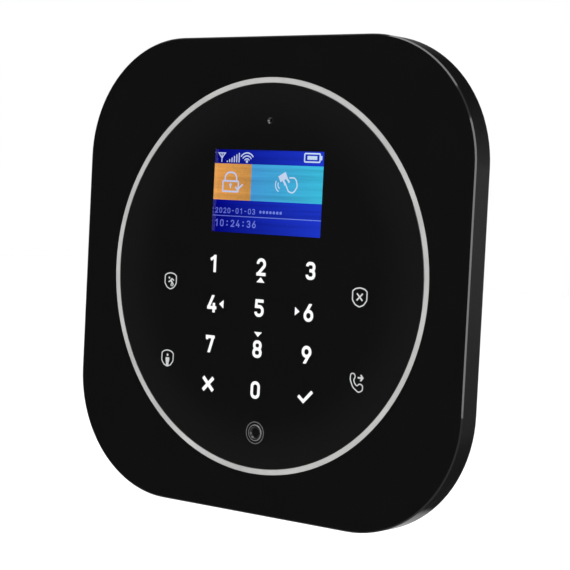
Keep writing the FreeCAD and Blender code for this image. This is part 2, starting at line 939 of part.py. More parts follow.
def touch_layers():
    body = disc("key_diffuser", "layer_radius", DIFFUSER_BACK, "diffuser_thickness")
    cut_layer(body, DIFFUSER_BACK, "diffuser_thickness")
    body = disc("touch_board", "layer_radius", TOUCH_BACK, "touch_board_thickness")
    cut_layer(body, TOUCH_BACK, "touch_board_thickness")
    cut_rounds(body, TOUCH_BACK, "touch_board_thickness", "aperture_radius", KEYS + SIDE_KEYS)
    body = start_body("key_leds")
    sketch = start_sketch(body, f"{TOUCH_BACK} - key_led_thickness")
    for x, y in KEYS + SIDE_KEYS:
        rectangle(sketch, "key_led_width", "key_led_height", x, y)
    pad(body, sketch, "key_led_thickness")


def rfid_antenna():
    body = start_body("rfid_antenna", z=minus("rfid_down"))
    sketch = start_sketch(body, f"{TOUCH_BACK} - rfid_thickness")
    rectangle(sketch, "rfid_width", "rfid_height")
    inset = "2 * rfid_track_width"
    rectangle(sketch, f"rfid_width - {inset}", f"rfid_height - {inset}")
    pad(body, sketch, "rfid_thickness")


def display():
    slab(
        "lcd_panel",
        "lcd_width",
        "lcd_height",
        "window_corner",
        LCD_BACK,
        "lcd_glass_thickness",
        z="window_up",
    )
    slab(
        "lcd_backlight",
        "lcd_width + 2 * lcd_margin",
        "lcd_height + 2 * lcd_margin",
        "window_corner",
        BACKLIGHT_BACK,
        "backlight_thickness",
        z="window_up",
    )


def microphone():
    disc(
        "microphone_boot",
        "mic_boot_radius",
        f"{LENS_BACK} - diffuser_thickness - touch_board_thickness",
        "diffuser_thickness + touch_board_thickness",
        z="mic_up",
        bore="mic_hole_radius",
    )
    disc(
        "microphone",
        "mic_capsule_radius",
        f"{TOUCH_BACK} - mic_capsule_depth",
        "mic_capsule_depth",
        z="mic_up",
    )


# ---------------------------------------------------------------- push button


def push_button():
    place = minus("button_down")
    bezel_top = f"{LENS_CENTRE} + bezel_rim_rise"
    bezel_low = f"{LENS_BACK} - bezel_flange_thickness"
    turned(
        "button_bezel",
        [
            ("bezel_bore_radius", bezel_low),
            ("bezel_flange_radius", bezel_low),
            ("bezel_flange_radius", LENS_BACK),
            ("bezel_radius", LENS_BACK),
            ("bezel_radius", bezel_top),
            ("bezel_bore_radius", bezel_top),
        ],
        z=place,
    )
    flange_top = f"{bezel_low} - switch_plunger_gap"
    cap_top = f"{LENS_CENTRE} + button_rise"
    cap_low = PLUNGER_TOP
    turned(
        "button_cap",
        [
            ("0", cap_low),
            ("button_stem_radius", cap_low),
            ("button_stem_radius", f"{flange_top} - button_flange_thickness"),
            ("button_flange_radius", f"{flange_top} - button_flange_thickness"),
            ("button_flange_radius", flange_top),
            ("button_radius", flange_top),
            ("button_radius", f"{cap_top} - lens_edge_bevel"),
            ("button_radius - lens_edge_bevel", cap_top),
            ("button_dish_radius", cap_top),
            ("button_dish_radius - button_dish_depth", f"{cap_top} - button_dish_depth"),
            ("0", f"{cap_top} - button_dish_depth"),
        ],
        z=place,
    )
    # the switch's own plunger starts under the switch's top face, and follows the cap
    disc(
        "button_switch_plunger",
        "switch_plunger_radius",
        f"{SWITCH_TOP} - switch_plunger_gap",
        "switch_plunger_height + switch_plunger_gap",
        z=place,
    )
    body = block(
        "button_switch_body",
        "switch_side",
        "switch_side",
        BUTTON_BOARD_TOP,
        "switch_height",
        z=place,
    )
    well = "2 * switch_plunger_gap + button_travel"
    cut_rounds(
        body, f"{SWITCH_TOP} - ({well})", well, "switch_plunger_radius + switch_plunger_gap"
    )
    block(
        "button_board",
        "button_board_width",
        "button_board_height",
        "button_board_low",
        "button_board_thickness",
        z=place,
    )
    body = start_body("button_board_posts", z=place)
    posts = [("button_post_spread", "0"), (minus("button_post_spread"), "0")]
    # the posts reach the bezel's flange on either side of the cap
    add_rounds(
        body, BUTTON_BOARD_TOP, f"{bezel_low} - ({BUTTON_BOARD_TOP})", "button_post_radius", posts
    )


# ---------------------------------------------------------------- electronics in the hump


def main_board():
    body = slab(
        "main_board", "board_width", "board_height", "board_corner", "board_low", "board_thickness"
    )
    cut_rounds(body, "board_low", "board_thickness", "screw_clearance_radius", PILLARS)
    modules = {
        "gsm_module": ("gsm_side", "gsm_side", "gsm_thickness", "gsm_across", "gsm_up"),
        "wifi_module": ("wifi_width", "wifi_height", "wifi_thickness", "wifi_across", "gsm_up"),
        "processor": (
            "processor_side",
            "processor_side",
            "processor_thickness",
            "0",
            "processor_up",
        ),
        "radio_module": (
            "radio_width",
            "radio_height",
            "radio_thickness",
            "radio_across",
            "radio_up",
        ),
    }
    for label, (width, height, thickness, x, z) in modules.items():
        block(label, width, height, BOARD_TOP, thickness, x, z)


def aerials():
    along_x = FreeCAD.Rotation(FreeCAD.Vector(0, 1, 0), 90)
    body = coil(
        "radio_coil_antenna",
        "coil_radius",
        "coil_wire_radius",
        "coil_pitch",
        "0",
        "coil_length",
        "radio_across",
        "coil_up",
        turn=along_x,
    )
    body.setExpression("Placement.Base.y", cells("-(board_low) + coil_radius + 2 * coil_wire_radius"))
    slab(
        "gsm_antenna",
        "gsm_antenna_width",
        "gsm_antenna_height",
        "window_corner",
        COVER_TOP,
        "gsm_antenna_thickness",
        z="gsm_antenna_up",
    )


def ribbon(label, top, x, plug_at):
    """Flat cable: along the underside of what it serves, then down to its connector."""
    connector_top = f"{BOARD_TOP} + connector_height"
    body = start_body(label, x=x)
    sketch = start_sketch(body, "-(ribbon_width) / 2", role="YZ_Plane")
    inner = f"{plug_at} + ribbon_thickness"
    polygon(
        sketch,
        [
            (plug_at, connector_top),
            (inner, connector_top),
            (inner, f"{top} - ribbon_thickness"),
            (f"{plug_at} + ribbon_run", f"{top} - ribbon_thickness"),
            (f"{plug_at} + ribbon_run", top),
            (plug_at, top),
        ],
    )
    pad(body, sketch, "ribbon_width")
    block(
        label + "_connector",
        "connector_width",
        "connector_depth",
        BOARD_TOP,
        "connector_height",
        x,
        plug_at,
    )


def battery():
    slab(
        "battery_pack",
        "battery_width",
        "battery_height",
        "battery_corner",
        "battery_low",
        "battery_thickness",
        z="battery_up",
    )
    block(
        "battery_plug",
        "plug_width",
        "plug_height",
        "board_low - 2 * lead_gap - lead_radius",
        "2 * lead_gap + lead_radius",
        "plug_across",
        "plug_up",
    )
    body = start_body("battery_leads")
    for level in ("lead_rise", "lead_rise - lead_gap"):
        lead(body, level)


def lead(body, level):
    """One wire from the battery's end, round a bend and down into the plug."""
    start_x, turn_x = value("battery_width / 2"), value("plug_across")
    bend = value("lead_bend")
    run_y, end_y = value("lead_up"), value("plug_up + plug_height / 2")
    path = start_sketch(body, level)
    runs = [
        Part.LineSegment(
            FreeCAD.Vector(start_x, run_y, 0), FreeCAD.Vector(turn_x - bend, run_y, 0)
        ),
        Part.ArcOfCircle(
            Part.Circle(FreeCAD.Vector(turn_x - bend, run_y - bend, 0), FORWARD, bend),
            0,
            math.pi / 2,
        ),
        Part.LineSegment(FreeCAD.Vector(turn_x, run_y - bend, 0), FreeCAD.Vector(turn_x, end_y, 0)),
    ]
    first, arc, last = [path.addGeometry(run, False) for run in runs]
    path.addConstraint(Sketcher.Constraint("Tangent", first, 2, arc, 2))
    path.addConstraint(Sketcher.Constraint("Tangent", arc, 1, last, 1))
    path.addConstraint(Sketcher.Constraint("Horizontal", first))
    path.addConstraint(Sketcher.Constraint("Vertical", last))
    constrain(path, "lead_bend", "Radius", arc)
    pin(path, first, 1, "battery_width / 2", "lead_up")
    pin(path, last, 2, "plug_across", "plug_up + plug_height / 2")
    profile = start_sketch(body, "battery_width / 2", role="YZ_Plane")
    circle(profile, "lead_radius", "lead_up", level)
    pipe = body.newObject("PartDesign::AdditivePipe", "battery_lead")
    pipe.Profile = profile
    pipe.Spine = path
    body.Tip = pipe


def siren():
    """Sounder behind the grille, with its magnet towards the board."""
    seal_top = f"{COVER_INSIDE} + siren_seal_thickness"
    disc(
        "siren_seal",
        "siren_radius",
        COVER_INSIDE,
        "siren_seal_thickness",
        "siren_across",
        "siren_up",
        bore="siren_seal_inner_radius",
    )
    magnet_low = f"{seal_top} + siren_thickness"
    turned(
        "siren",
        [
            ("0", seal_top),
            ("siren_radius", seal_top),
            ("siren_radius", magnet_low),
            ("siren_magnet_radius", magnet_low),
            ("siren_magnet_radius", f"{magnet_low} + siren_magnet_thickness"),
            ("0", f"{magnet_low} + siren_magnet_thickness"),
        ],
        "siren_across",
        "siren_up",
    )


def tamper():
    """Sprung plunger that the wall presses in, and the switch that it works."""
    x, z = "tamper_across", "tamper_up"
    flange_top = "tamper_flange_low + tamper_flange_thickness"
    turned(
        "tamper_plunger",
        [
            ("0", "tamper_tip"),
            ("tamper_stem_radius - lens_edge_bevel", "tamper_tip"),
            ("tamper_stem_radius", "tamper_tip + lens_edge_bevel"),
            ("tamper_stem_radius", "tamper_flange_low"),
            ("tamper_flange_radius", "tamper_flange_low"),
            ("tamper_flange_radius", flange_top),
            ("tamper_pin_radius", flange_top),
            ("tamper_pin_radius", "tamper_pin_top"),
            ("0", "tamper_pin_top"),
        ],
        x,
        z,
    )
    body = block(
        "tamper_switch",
        "tamper_switch_side",
        "tamper_switch_side",
        "tamper_switch_low",
        "board_low - tamper_switch_low",
        x,
        z,
    )
    cut_rounds(body, "tamper_switch_low", "board_low - tamper_switch_low", "tamper_switch_bore")
    coil(
        "tamper_spring",
        "spring_radius",
        "spring_wire_radius",
        "spring_pitch",
        f"{flange_top} + spring_wire_radius",
        f"tamper_switch_low - ({flange_top}) - 2 * spring_wire_radius",
        x,
        z,
    )


def power_switch():
    """Slide switch: its knob stands through the slot in the hump's underside."""
    body = block(
        "power_switch_body",
        "power_body_width",
        "power_body_height",
        "power_body_low",
        "board_low - power_body_low",
        "power_across + power_travel / 2",
        "power_up",
    )
    channel_depth = "power_body_height / 2"
    cut_rectangles(
        body,
        "power_knob_low - power_slot_margin",
        "power_knob_thickness + 2 * power_slot_margin",
        "power_knob_width + power_travel + 2 * power_slot_margin",
        channel_depth,
        [("0", f"-(power_body_height) / 2 + ({channel_depth}) / 2")],
    )
    knob_start = "power_up - power_slot_margin"
    block(
        "power_switch_knob",
        "power_knob_width",
        f"{knob_start} - power_knob_end",
        "power_knob_low",
        "power_knob_thickness",
        "power_across",
        f"({knob_start} + power_knob_end) / 2",
    )


def sim_card():
    """Card with its cut corner, lying in a socket that is open towards the hump's left side."""
    body = start_body("sim_card", "sim_end + sim_width / 2", "sim_up")
    sketch = start_sketch(body, "sim_low")
    half_w, half_h = "sim_width / 2", "sim_height / 2"
    polygon(
        sketch,
        [
            (minus(half_w), minus(half_h)),
            (f"{half_w} - sim_notch", minus(half_h)),
            (half_w, f"-({half_h}) + sim_notch"),
            (half_w, half_h),
            (minus(half_w), half_h),
        ],
    )
    pad(body, sketch, "sim_thickness")
    socket_left = "-(hump_width) / 2 + hump_wall + sim_gap"
    body = block(
        "sim_socket",
        "sim_socket_width",
        "sim_socket_height",
        "sim_socket_low",
        "board_low - sim_socket_low",
        f"{socket_left} + sim_socket_width / 2",
        "sim_up",
    )
    cut_depth = f"sim_end + sim_width + sim_gap - ({socket_left})"
    cut_rectangles(
        body,
        "sim_low - sim_gap",
        "sim_thickness + 2 * sim_gap",
        cut_depth,
        "sim_height + 2 * sim_gap",
        [(f"({cut_depth} - sim_socket_width) / 2", "0")],
    )


def usb_socket():
    """USB-C receptacle: a stadium-shaped shell with its mouth down, and the tongue inside."""
    middle = "board_low - usb_height / 2"
    shell = start_body("usb_shell", "usb_across")
    level = "-(usb_end) - usb_depth"
    outline = ("usb_width", "usb_height", "usb_height / 2 - usb_side_straight")
    sketch = start_sketch(shell, level, role="XZ_Plane")
    rounded_rectangle(sketch, *outline, "0", middle)
    pad(shell, sketch, "usb_depth")
    sketch = start_sketch(shell, f"{level} + usb_back_thickness", role="XZ_Plane")
    skin = "2 * usb_skin"
    rounded_rectangle(
        sketch,
        f"usb_width - {skin}",
        f"usb_height - {skin}",
        "usb_height / 2 - usb_skin - usb_side_straight",
        "0",
        middle,
    )
    pocket(shell, sketch, "usb_depth - usb_back_thickness")
    tongue = start_body("usb_tongue", "usb_across")
    sketch = start_sketch(tongue, f"{level} + usb_back_thickness", role="XZ_Plane")
    rectangle(sketch, "usb_tongue_width", "usb_tongue_thickness", "0", middle)
    pad(tongue, sketch, "usb_tongue_length")


# ---------------------------------------------------------------- build, check and write


def check_document():
    """Stops on a failed object, a wrong solid or a cut that removes nothing."""
    for item in doc.Objects:
        if "Invalid" in item.State or "Error" in item.State:
            raise SystemExit(f"{item.Name} failed: {item.State}")
    for item in doc.Objects:
        if item.TypeId == "PartDesign::Pocket":
            removed = item.BaseFeature.Shape.Volume - item.Shape.Volume
            if removed < 1e-3:
                raise SystemExit(f"{item.Name} cuts nothing")
    for body in bodies():
        shape = body.Shape
        if shape.isNull() or not shape.isValid() or not shape.Solids:
            raise SystemExit(f"{body.Label} has no valid solid")


def bodies():
    return [item for item in doc.Objects if item.TypeId == "PartDesign::Body"]


def write_parts():
    os.makedirs("parts", exist_ok=True)
    for body in bodies():
        body.Shape.exportStep(f"parts/{body.Label}.step")
        print(f"{body.Label}: {len(body.Shape.Solids)} solids, {body.Shape.Volume:.1f} mm3")


front_frame()
light_guide_ring()
touch_lens()
display_window()
rear_cover()
wall_bracket()
case_fasteners()
carrier_frame()
ring_lights()
lens_gasket()
touch_layers()
rfid_antenna()
display()
microphone()
push_button()
main_board()
aerials()
ribbon("lcd_ribbon", BACKLIGHT_BACK, "0", "lcd_connector_up")
ribbon("touch_ribbon", TOUCH_BACK, "touch_connector_across", "touch_connector_up")
battery()
siren()
tamper()
power_switch()
sim_card()
usb_socket()
doc.recompute()
check_document()
write_parts()
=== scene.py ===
import math

import bpy
from mathutils import Matrix, Vector
from mathutils.bvhtree import BVHTree
from mathutils.geometry import delaunay_2d_cdt


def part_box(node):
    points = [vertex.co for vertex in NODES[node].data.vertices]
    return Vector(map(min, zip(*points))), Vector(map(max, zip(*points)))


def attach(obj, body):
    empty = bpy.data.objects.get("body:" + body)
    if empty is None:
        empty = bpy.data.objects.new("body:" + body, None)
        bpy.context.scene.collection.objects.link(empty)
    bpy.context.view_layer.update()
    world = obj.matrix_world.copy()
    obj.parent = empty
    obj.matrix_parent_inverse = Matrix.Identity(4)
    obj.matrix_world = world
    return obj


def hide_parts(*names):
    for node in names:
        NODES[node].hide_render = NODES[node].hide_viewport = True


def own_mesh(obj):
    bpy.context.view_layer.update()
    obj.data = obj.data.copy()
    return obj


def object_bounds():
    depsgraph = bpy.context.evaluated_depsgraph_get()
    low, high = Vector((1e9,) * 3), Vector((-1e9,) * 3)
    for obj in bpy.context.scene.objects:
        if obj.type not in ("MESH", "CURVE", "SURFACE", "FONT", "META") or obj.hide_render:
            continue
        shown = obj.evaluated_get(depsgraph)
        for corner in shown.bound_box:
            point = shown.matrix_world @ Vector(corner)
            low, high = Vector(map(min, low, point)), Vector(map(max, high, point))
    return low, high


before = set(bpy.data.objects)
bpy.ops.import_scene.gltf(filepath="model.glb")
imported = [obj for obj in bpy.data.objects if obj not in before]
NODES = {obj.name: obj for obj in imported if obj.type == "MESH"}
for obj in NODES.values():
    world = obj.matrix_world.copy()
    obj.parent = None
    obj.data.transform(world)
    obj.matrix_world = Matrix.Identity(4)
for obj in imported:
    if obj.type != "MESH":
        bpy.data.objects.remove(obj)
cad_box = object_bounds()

# Alarm keypad panel on its wall bracket. Metres, as the CAD; sizes on the face are given in
# millimetres and scaled by MM. +Z is up, +X is right as seen from the room, the room is at -Y.

MM = 0.001
LENS_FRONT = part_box("touch_lens")[0].y
LCD_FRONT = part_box("lcd_panel")[0].y
WINDOW_LOW, WINDOW_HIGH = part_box("display_window")
LCD_LOW, LCD_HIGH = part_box("lcd_panel")
MIC_UP = sum(corner.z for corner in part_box("microphone")) / 2
BUTTON_UP = sum(corner.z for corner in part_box("button_cap")) / 2

# Radius of the painted highlight round the microphone's hole, where its countersink catches the
# light
MIC_HIGHLIGHT_RADIUS = 1.05 * MM
# How far the painted highlights round the microphone and the button fade out at their edges
HIGHLIGHT_FADE = 0.1 * MM
# Painted light: the disc's black is lifted between these radii, towards its edge, a painted glow
# from the ring
RING_GLOW_FROM, RING_GLOW_FULL = 47 * MM, 66 * MM
# Painted highlights on the button's rims: inner and outer radius, and how pale
BUTTON_HIGHLIGHT_RINGS = [
    (1.95 * MM, 2.25 * MM, 0.03),
    (2.5 * MM, 3.05 * MM, 0.1),
    (3.6 * MM, 4.1 * MM, 0.075),
]


# ---------------------------------------------------------------- camera

# The camera stands to the right of the panel, a little above its middle and a little rolled
VIEW_ASIDE = math.radians(37.54)
VIEW_ABOVE = math.radians(2.62)
VIEW_ROLL = math.radians(-2.854)
VIEW_DISTANCE = 0.61595
AIM_RIGHT = 0.00809
AIM_UP = -0.00304
FOCAL_LENGTH = 111.0
SENSOR_WIDTH = 36.0


def camera_axes():
    """Right, up and forward of the camera, with its roll."""
    level = math.cos(VIEW_ABOVE)
    forward = Vector(
        (-math.sin(VIEW_ASIDE) * level, math.cos(VIEW_ASIDE) * level, -math.sin(VIEW_ABOVE))
    )
    right = forward.cross(Vector((0, 0, 1))).normalized()
    up = right.cross(forward)
    tilted_up = up * math.cos(VIEW_ROLL) + right * math.sin(VIEW_ROLL)
    return forward.cross(tilted_up), tilted_up, forward


def add_camera():
    right, up, forward = camera_axes()
    data = bpy.data.cameras.new("camera")
    data.lens = FOCAL_LENGTH
    data.sensor_width = SENSOR_WIDTH
    data.clip_start = 0.01
    camera = bpy.data.objects.new("camera", data)
    bpy.context.scene.collection.objects.link(camera)
    face = Vector((0, cad_box[0][1], 0))
    place = face + right * AIM_RIGHT + up * AIM_UP - forward * VIEW_DISTANCE
    turn = Matrix((right, up, -forward)).transposed().to_4x4()
    camera.matrix_world = Matrix.Translation(place) @ turn
    bpy.context.scene.camera = camera


# ---------------------------------------------------------------- material helpers

RANGE_SOCKETS = ("From Min", "From Max", "To Min", "To Max")


def linear(red, green, blue):
    """A display colour, 0 to 255, as the linear colour that shaders take."""
    parts = [c / 255 for c in (red, green, blue)]
    parts = [c / 12.92 if c <= 0.04045 else ((c + 0.055) / 1.055) ** 2.4 for c in parts]
    return (*parts, 1.0)


def grey(level):
    return (level, level, level, 1.0)


class Finish:
    """A Principled material and the few nodes that give it its detail, in object coordinates."""

    def __init__(self, name, **plain):
        self.material = bpy.data.materials.new(name)
        self.material.use_nodes = True
        self.tree = self.material.node_tree
        self.shader = self.tree.nodes["Principled BSDF"]
        self.place = self.tree.nodes.new("ShaderNodeTexCoord").outputs["Object"]
        for socket, number in plain.items():
            self.shader.inputs[socket.replace("_", " ")].default_value = number

    def node(self, kind, **settings):
        made = self.tree.nodes.new(kind)
        for key, setting in settings.items():
            setattr(made, key, setting)
        return made

    def join(self, source, target):
        self.tree.links.new(source, target)

    def stretched(self, scale):
        """The object's coordinates, multiplied along each axis."""
        mapping = self.node("ShaderNodeMapping")
        mapping.inputs["Scale"].default_value = scale
        self.join(self.place, mapping.inputs["Vector"])
        return mapping.outputs["Vector"]

    def noise(self, scale, detail=3.0, roughness=0.5, where=None):
        made = self.node("ShaderNodeTexNoise")
        made.inputs["Scale"].default_value = scale
        made.inputs["Detail"].default_value = detail
        made.inputs["Roughness"].default_value = roughness
        self.join(where or self.place, made.inputs["Vector"])
        return made.outputs["Fac"]

    def cells(self, scale, output="Distance"):
        made = self.node("ShaderNodeTexVoronoi")
        made.inputs["Scale"].default_value = scale
        self.join(self.place, made.inputs["Vector"])
        return made.outputs[output]

    def stripes(self, scale, direction, distortion=0.0):
        made = self.node("ShaderNodeTexWave", bands_direction=direction)
        made.inputs["Scale"].default_value = scale
        made.inputs["Distortion"].default_value = distortion
        self.join(self.place, made.inputs["Vector"])
        return made.outputs["Fac"]

    def axis(self, letter, where=None):
        made = self.node("ShaderNodeSeparateXYZ")
        self.join(where or self.place, made.inputs["Vector"])
        return made.outputs[letter]

    def reach(self, x, z):
        """Distance from the line along Y through (x, z)."""
        shift = self.node("ShaderNodeVectorMath", operation="SUBTRACT")
        shift.inputs[1].default_value = (x, 0.0, z)
        self.join(self.place, shift.inputs[0])
        flat = self.node("ShaderNodeVectorMath", operation="MULTIPLY")
        flat.inputs[1].default_value = (1.0, 0.0, 1.0)
        self.join(shift.outputs["Vector"], flat.inputs[0])
        length = self.node("ShaderNodeVectorMath", operation="LENGTH")
        self.join(flat.outputs["Vector"], length.inputs[0])
        return length.outputs["Value"]

    def maths(self, operation, first, second):
        made = self.node("ShaderNodeMath", operation=operation)
        for socket, number in zip(made.inputs, (first, second)):
            if isinstance(number, (int, float)):
                socket.default_value = number
            else:
                self.join(number, socket)
        return made.outputs["Value"]

    def between(self, value, low, high, to_low=0.0, to_high=1.0, curve="LINEAR"):
        """Value from low..high to to_low..to_high, held at its ends."""
        made = self.node("ShaderNodeMapRange", interpolation_type=curve)
        for socket, number in zip(RANGE_SOCKETS, (low, high, to_low, to_high)):
            made.inputs[socket].default_value = number
        self.join(value, made.inputs["Value"])
        return made.outputs["Result"]

    def mix(self, share, first, second):
        made = self.node("ShaderNodeMix", data_type="RGBA")
        self.join(share, made.inputs["Factor"])
        for socket, colour in zip(("A", "B"), (first, second)):
            target = [s for s in made.inputs if s.name == socket and s.type == "RGBA"][0]
            if isinstance(colour, tuple):
                target.default_value = colour
            else:
                self.join(colour, target)
        return [s for s in made.outputs if s.type == "RGBA"][0]

    def colour(self, share, first, second):
        self.join(self.mix(share, first, second), self.shader.inputs["Base Color"])

    def rough(self, value, low, high, from_low=0.3, from_high=0.7):
        spread = self.between(value, from_low, from_high, low, high)
        self.join(spread, self.shader.inputs["Roughness"])

    def bump(self, height, depth, strength=1.0):
        """Relief of the given depth in metres, on top of any earlier one."""
        made = self.node("ShaderNodeBump")
        made.inputs["Distance"].default_value = depth
        made.inputs["Strength"].default_value = strength
        self.join(height, made.inputs["Height"])
        normal = self.shader.inputs["Normal"]
        if normal.is_linked:
            self.join(normal.links[0].from_socket, made.inputs["Normal"])
        self.join(made.outputs["Normal"], normal)


# ---------------------------------------------------------------- finishes


def gloss_black(name, painted_ring_glow=False):
    """Polished black plastic: faint waviness, wiping marks and a few specks of dust. With the ring
    glow set, also a painted glow towards the ring and a painted highlight round the microphone's
    hole.
    """
    f = Finish(name, IOR=1.5)
    wipe = f.noise(28, 5.0, 0.6, f.stretched((1.0, 1.0, 0.35)))
    f.rough(wipe, 0.045, 0.1)
    base = f.mix(f.noise(70), grey(0.0026), grey(0.0034))
    if painted_ring_glow:
        # Painted glow: the lens's black is lifted towards the ring
        edge = f.between(f.reach(0.0, 0.0), RING_GLOW_FROM, RING_GLOW_FULL, curve="SMOOTHSTEP")
        base = f.mix(edge, base, grey(0.0047))
        # Painted highlight: the black is paler inside the microphone's countersink
        mic_highlight_share = f.between(f.reach(0.0, MIC_UP), MIC_HIGHLIGHT_RADIUS, MIC_HIGHLIGHT_RADIUS + HIGHLIGHT_FADE, 1.0, 0.0)
        base = f.mix(mic_highlight_share, base, grey(0.024))
    specks = f.between(f.cells(210), 0.0, 0.022, 1.0, 0.0)
    f.colour(specks, base, grey(0.06))
    f.bump(f.noise(420, 2.0), 6e-6, 0.5)
    f.bump(f.noise(30, 1.0), 2e-5, 0.4)
    return f.material


def button_gloss():
    """The round button and its bezel: black gloss with painted highlight rings on its rims."""
    f = Finish("button_gloss", IOR=1.5)
    reach = f.reach(0.0, BUTTON_UP)
    base = grey(0.0034)
    # Painted highlight rings: paler bands where the rims' edges catch the light
    for inner, outer, level in BUTTON_HIGHLIGHT_RINGS:
        rise = f.between(reach, inner, inner + HIGHLIGHT_FADE)
        fall = f.between(reach, outer - HIGHLIGHT_FADE, outer, 1.0, 0.0)
        base = f.mix(f.maths("MULTIPLY", rise, fall), base, grey(level))
    f.join(base, f.shader.inputs["Base Color"])
    f.rough(f.noise(300, 4.0), 0.16, 0.3)
    f.bump(f.noise(900, 2.0), 6e-6, 0.5)
    return f.material


def matte_black():
    """Moulded ABS with a fine spark-eroded grain."""
    f = Finish("matte_black", IOR=1.5)
    f.colour(f.noise(60, 4.0), grey(0.011), grey(0.019))
    grain = f.noise(2600, 2.0, 0.6)
    f.rough(f.noise(90, 3.0), 0.48, 0.64)
    f.bump(grain, 5e-5, 0.55)
    f.bump(f.noise(16, 2.0), 8e-5, 0.25)
    return f.material


def frosted_guide():
    """Pale satin light guide: milky plastic with a fine turned grain and slight mottling."""
    f = Finish("frosted_guide", IOR=1.49, Coat_Weight=0.25, Coat_Roughness=0.28)
    f.colour(f.noise(55, 4.0, 0.6), linear(126, 126, 125), linear(172, 172, 170))
    f.rough(f.noise(1100, 3.0), 0.3, 0.46)
    f.bump(f.noise(1700, 3.0), 3e-5, 0.5)
    return f.material


def clear_window():
    """The display's pane: clear acrylic with the faintest smear."""
    f = Finish("clear_window", IOR=1.49, Transmission_Weight=1.0)
    f.colour(f.noise(40), grey(0.94), grey(1.0))
    f.rough(f.noise(26, 5.0, 0.6), 0.0, 0.02)
    return f.material


def display_glass():
    """The display cell round its lit area: dark glass over a fine grid of electrodes."""
    f = Finish("display_glass", IOR=1.5)
    rows = f.between(f.stripes(330, "Z"), 0.9, 1.0)
    columns = f.between(f.stripes(330, "X"), 0.9, 1.0)
    f.colour(f.maths("MAXIMUM", rows, columns), grey(0.004), linear(26, 30, 40))
    f.rough(f.noise(50), 0.06, 0.12)
    return f.material


def steel(name, colour, light, grain=(1.0, 1.0, 30.0)):
    """Plated steel: soft patches under a fine grain that runs one way."""
    f = Finish(name, Metallic=1.0)
    patches = f.noise(120, 4.0, 0.6)
    f.colour(patches, colour, light)
    lines = f.noise(160, 3.0, 0.6, f.stretched(grain))
    f.rough(lines, 0.24, 0.44)
    f.bump(lines, 1.2e-5, 0.5)
    return f.material


def bracket_steel():
    """Galvanised plate, a little dull with age: large spangle and drawn scratches."""
    f = Finish("bracket_steel", Metallic=0.55)
    spangle = f.cells(150, "Color")
    shade = f.between(f.axis("X", spangle), 0.0, 1.0, 0.25, 0.75)
    f.colour(shade, linear(148, 151, 154), linear(190, 192, 194))
    f.rough(f.noise(220, 5.0, 0.7), 0.38, 0.58)
    scratches = f.noise(90, 2.0, 0.5, f.stretched((1.0, 1.0, 24.0)))
    f.bump(f.between(scratches, 0.62, 0.7), 1.5e-5, 0.6)
    f.bump(f.noise(1500, 2.0), 1e-5, 0.4)
    return f.material


def circuit_board():
    """Solder mask over copper: tracks, tinned vias and a speckle of small parts' pads."""
    f = Finish("circuit_board", IOR=1.5, Coat_Weight=0.4, Coat_Roughness=0.2)
    across = f.between(f.stripes(210, "X", 1.5), 0.72, 0.8)
    along = f.between(f.stripes(170, "Z", 1.5), 0.78, 0.86)
    region = f.between(f.noise(70, 0.0), 0.48, 0.52)
    tracks = f.maths("MULTIPLY", f.maths("MAXIMUM", across, along), region)
    mask = f.mix(tracks, linear(14, 62, 40), linear(28, 96, 62))
    vias = f.between(f.cells(330), 0.1, 0.16, 1.0, 0.0)
    f.colour(vias, mask, linear(176, 166, 140))
    f.rough(f.noise(300), 0.3, 0.45)
    f.bump(tracks, 3e-5, 0.6)
    return f.material


def lamp():
    """Small white lamps: yellowish phosphor in a pale package, faintly lit."""
    f = Finish("lamp", IOR=1.5, Emission_Strength=0.35)
    dots = f.between(f.cells(900), 0.2, 0.5)
    f.colour(dots, linear(240, 222, 130), linear(236, 234, 226))
    f.shader.inputs["Emission Color"].default_value = linear(255, 244, 220)
    f.rough(f.noise(400), 0.3, 0.5)
    return f.material


def black_rubber():
    """Soft black rubber with a dusty, pitted skin."""
    f = Finish("black_rubber", IOR=1.5)
    f.colour(f.noise(200, 4.0), grey(0.012), grey(0.026))
    f.rough(f.noise(500, 3.0), 0.7, 0.9)
    f.bump(f.noise(2200, 3.0), 4e-5, 0.6)
    return f.material


def copper():
    """Enamelled copper: fine drawn lines under a clear coat."""
    f = Finish("copper", Metallic=1.0, Coat_Weight=0.6, Coat_Roughness=0.12)
    f.colour(f.noise(260, 4.0), linear(176, 100, 62), linear(224, 146, 98))
    f.rough(f.noise(900, 2.0), 0.22, 0.36)
    f.bump(f.noise(2400, 2.0), 1e-5, 0.4)
    return f.material


def component_black():
    """Moulded component packages: dull black with a fine gate-side grain."""
    f = Finish("component_black", IOR=1.5)
    f.colour(f.noise(300, 4.0), grey(0.016), grey(0.03))
    f.rough(f.noise(700, 3.0), 0.42, 0.6)
    f.bump(f.noise(3000, 2.0), 3e-5, 0.5)
    return f.material


def ribbon_film():
    """Amber polyimide over parallel copper tracks."""
    f = Finish("ribbon_film", IOR=1.6, Coat_Weight=0.5, Coat_Roughness=0.15)
    tracks = f.between(f.stripes(520, "X"), 0.35, 0.6)
    f.colour(tracks, linear(146, 84, 24), linear(206, 140, 58))
    f.rough(f.noise(300), 0.24, 0.38)
    f.bump(tracks, 3e-5, 0.5)
    return f.material


def connector_white():
    """Off-white moulded plastic with a faint grain."""
    f = Finish("connector_white", IOR=1.5)
    f.colour(f.noise(150, 4.0), linear(214, 208, 192), linear(236, 232, 220))
    f.rough(f.noise(500), 0.36, 0.5)
    f.bump(f.noise(1800, 2.0), 3e-5, 0.5)
    return f.material


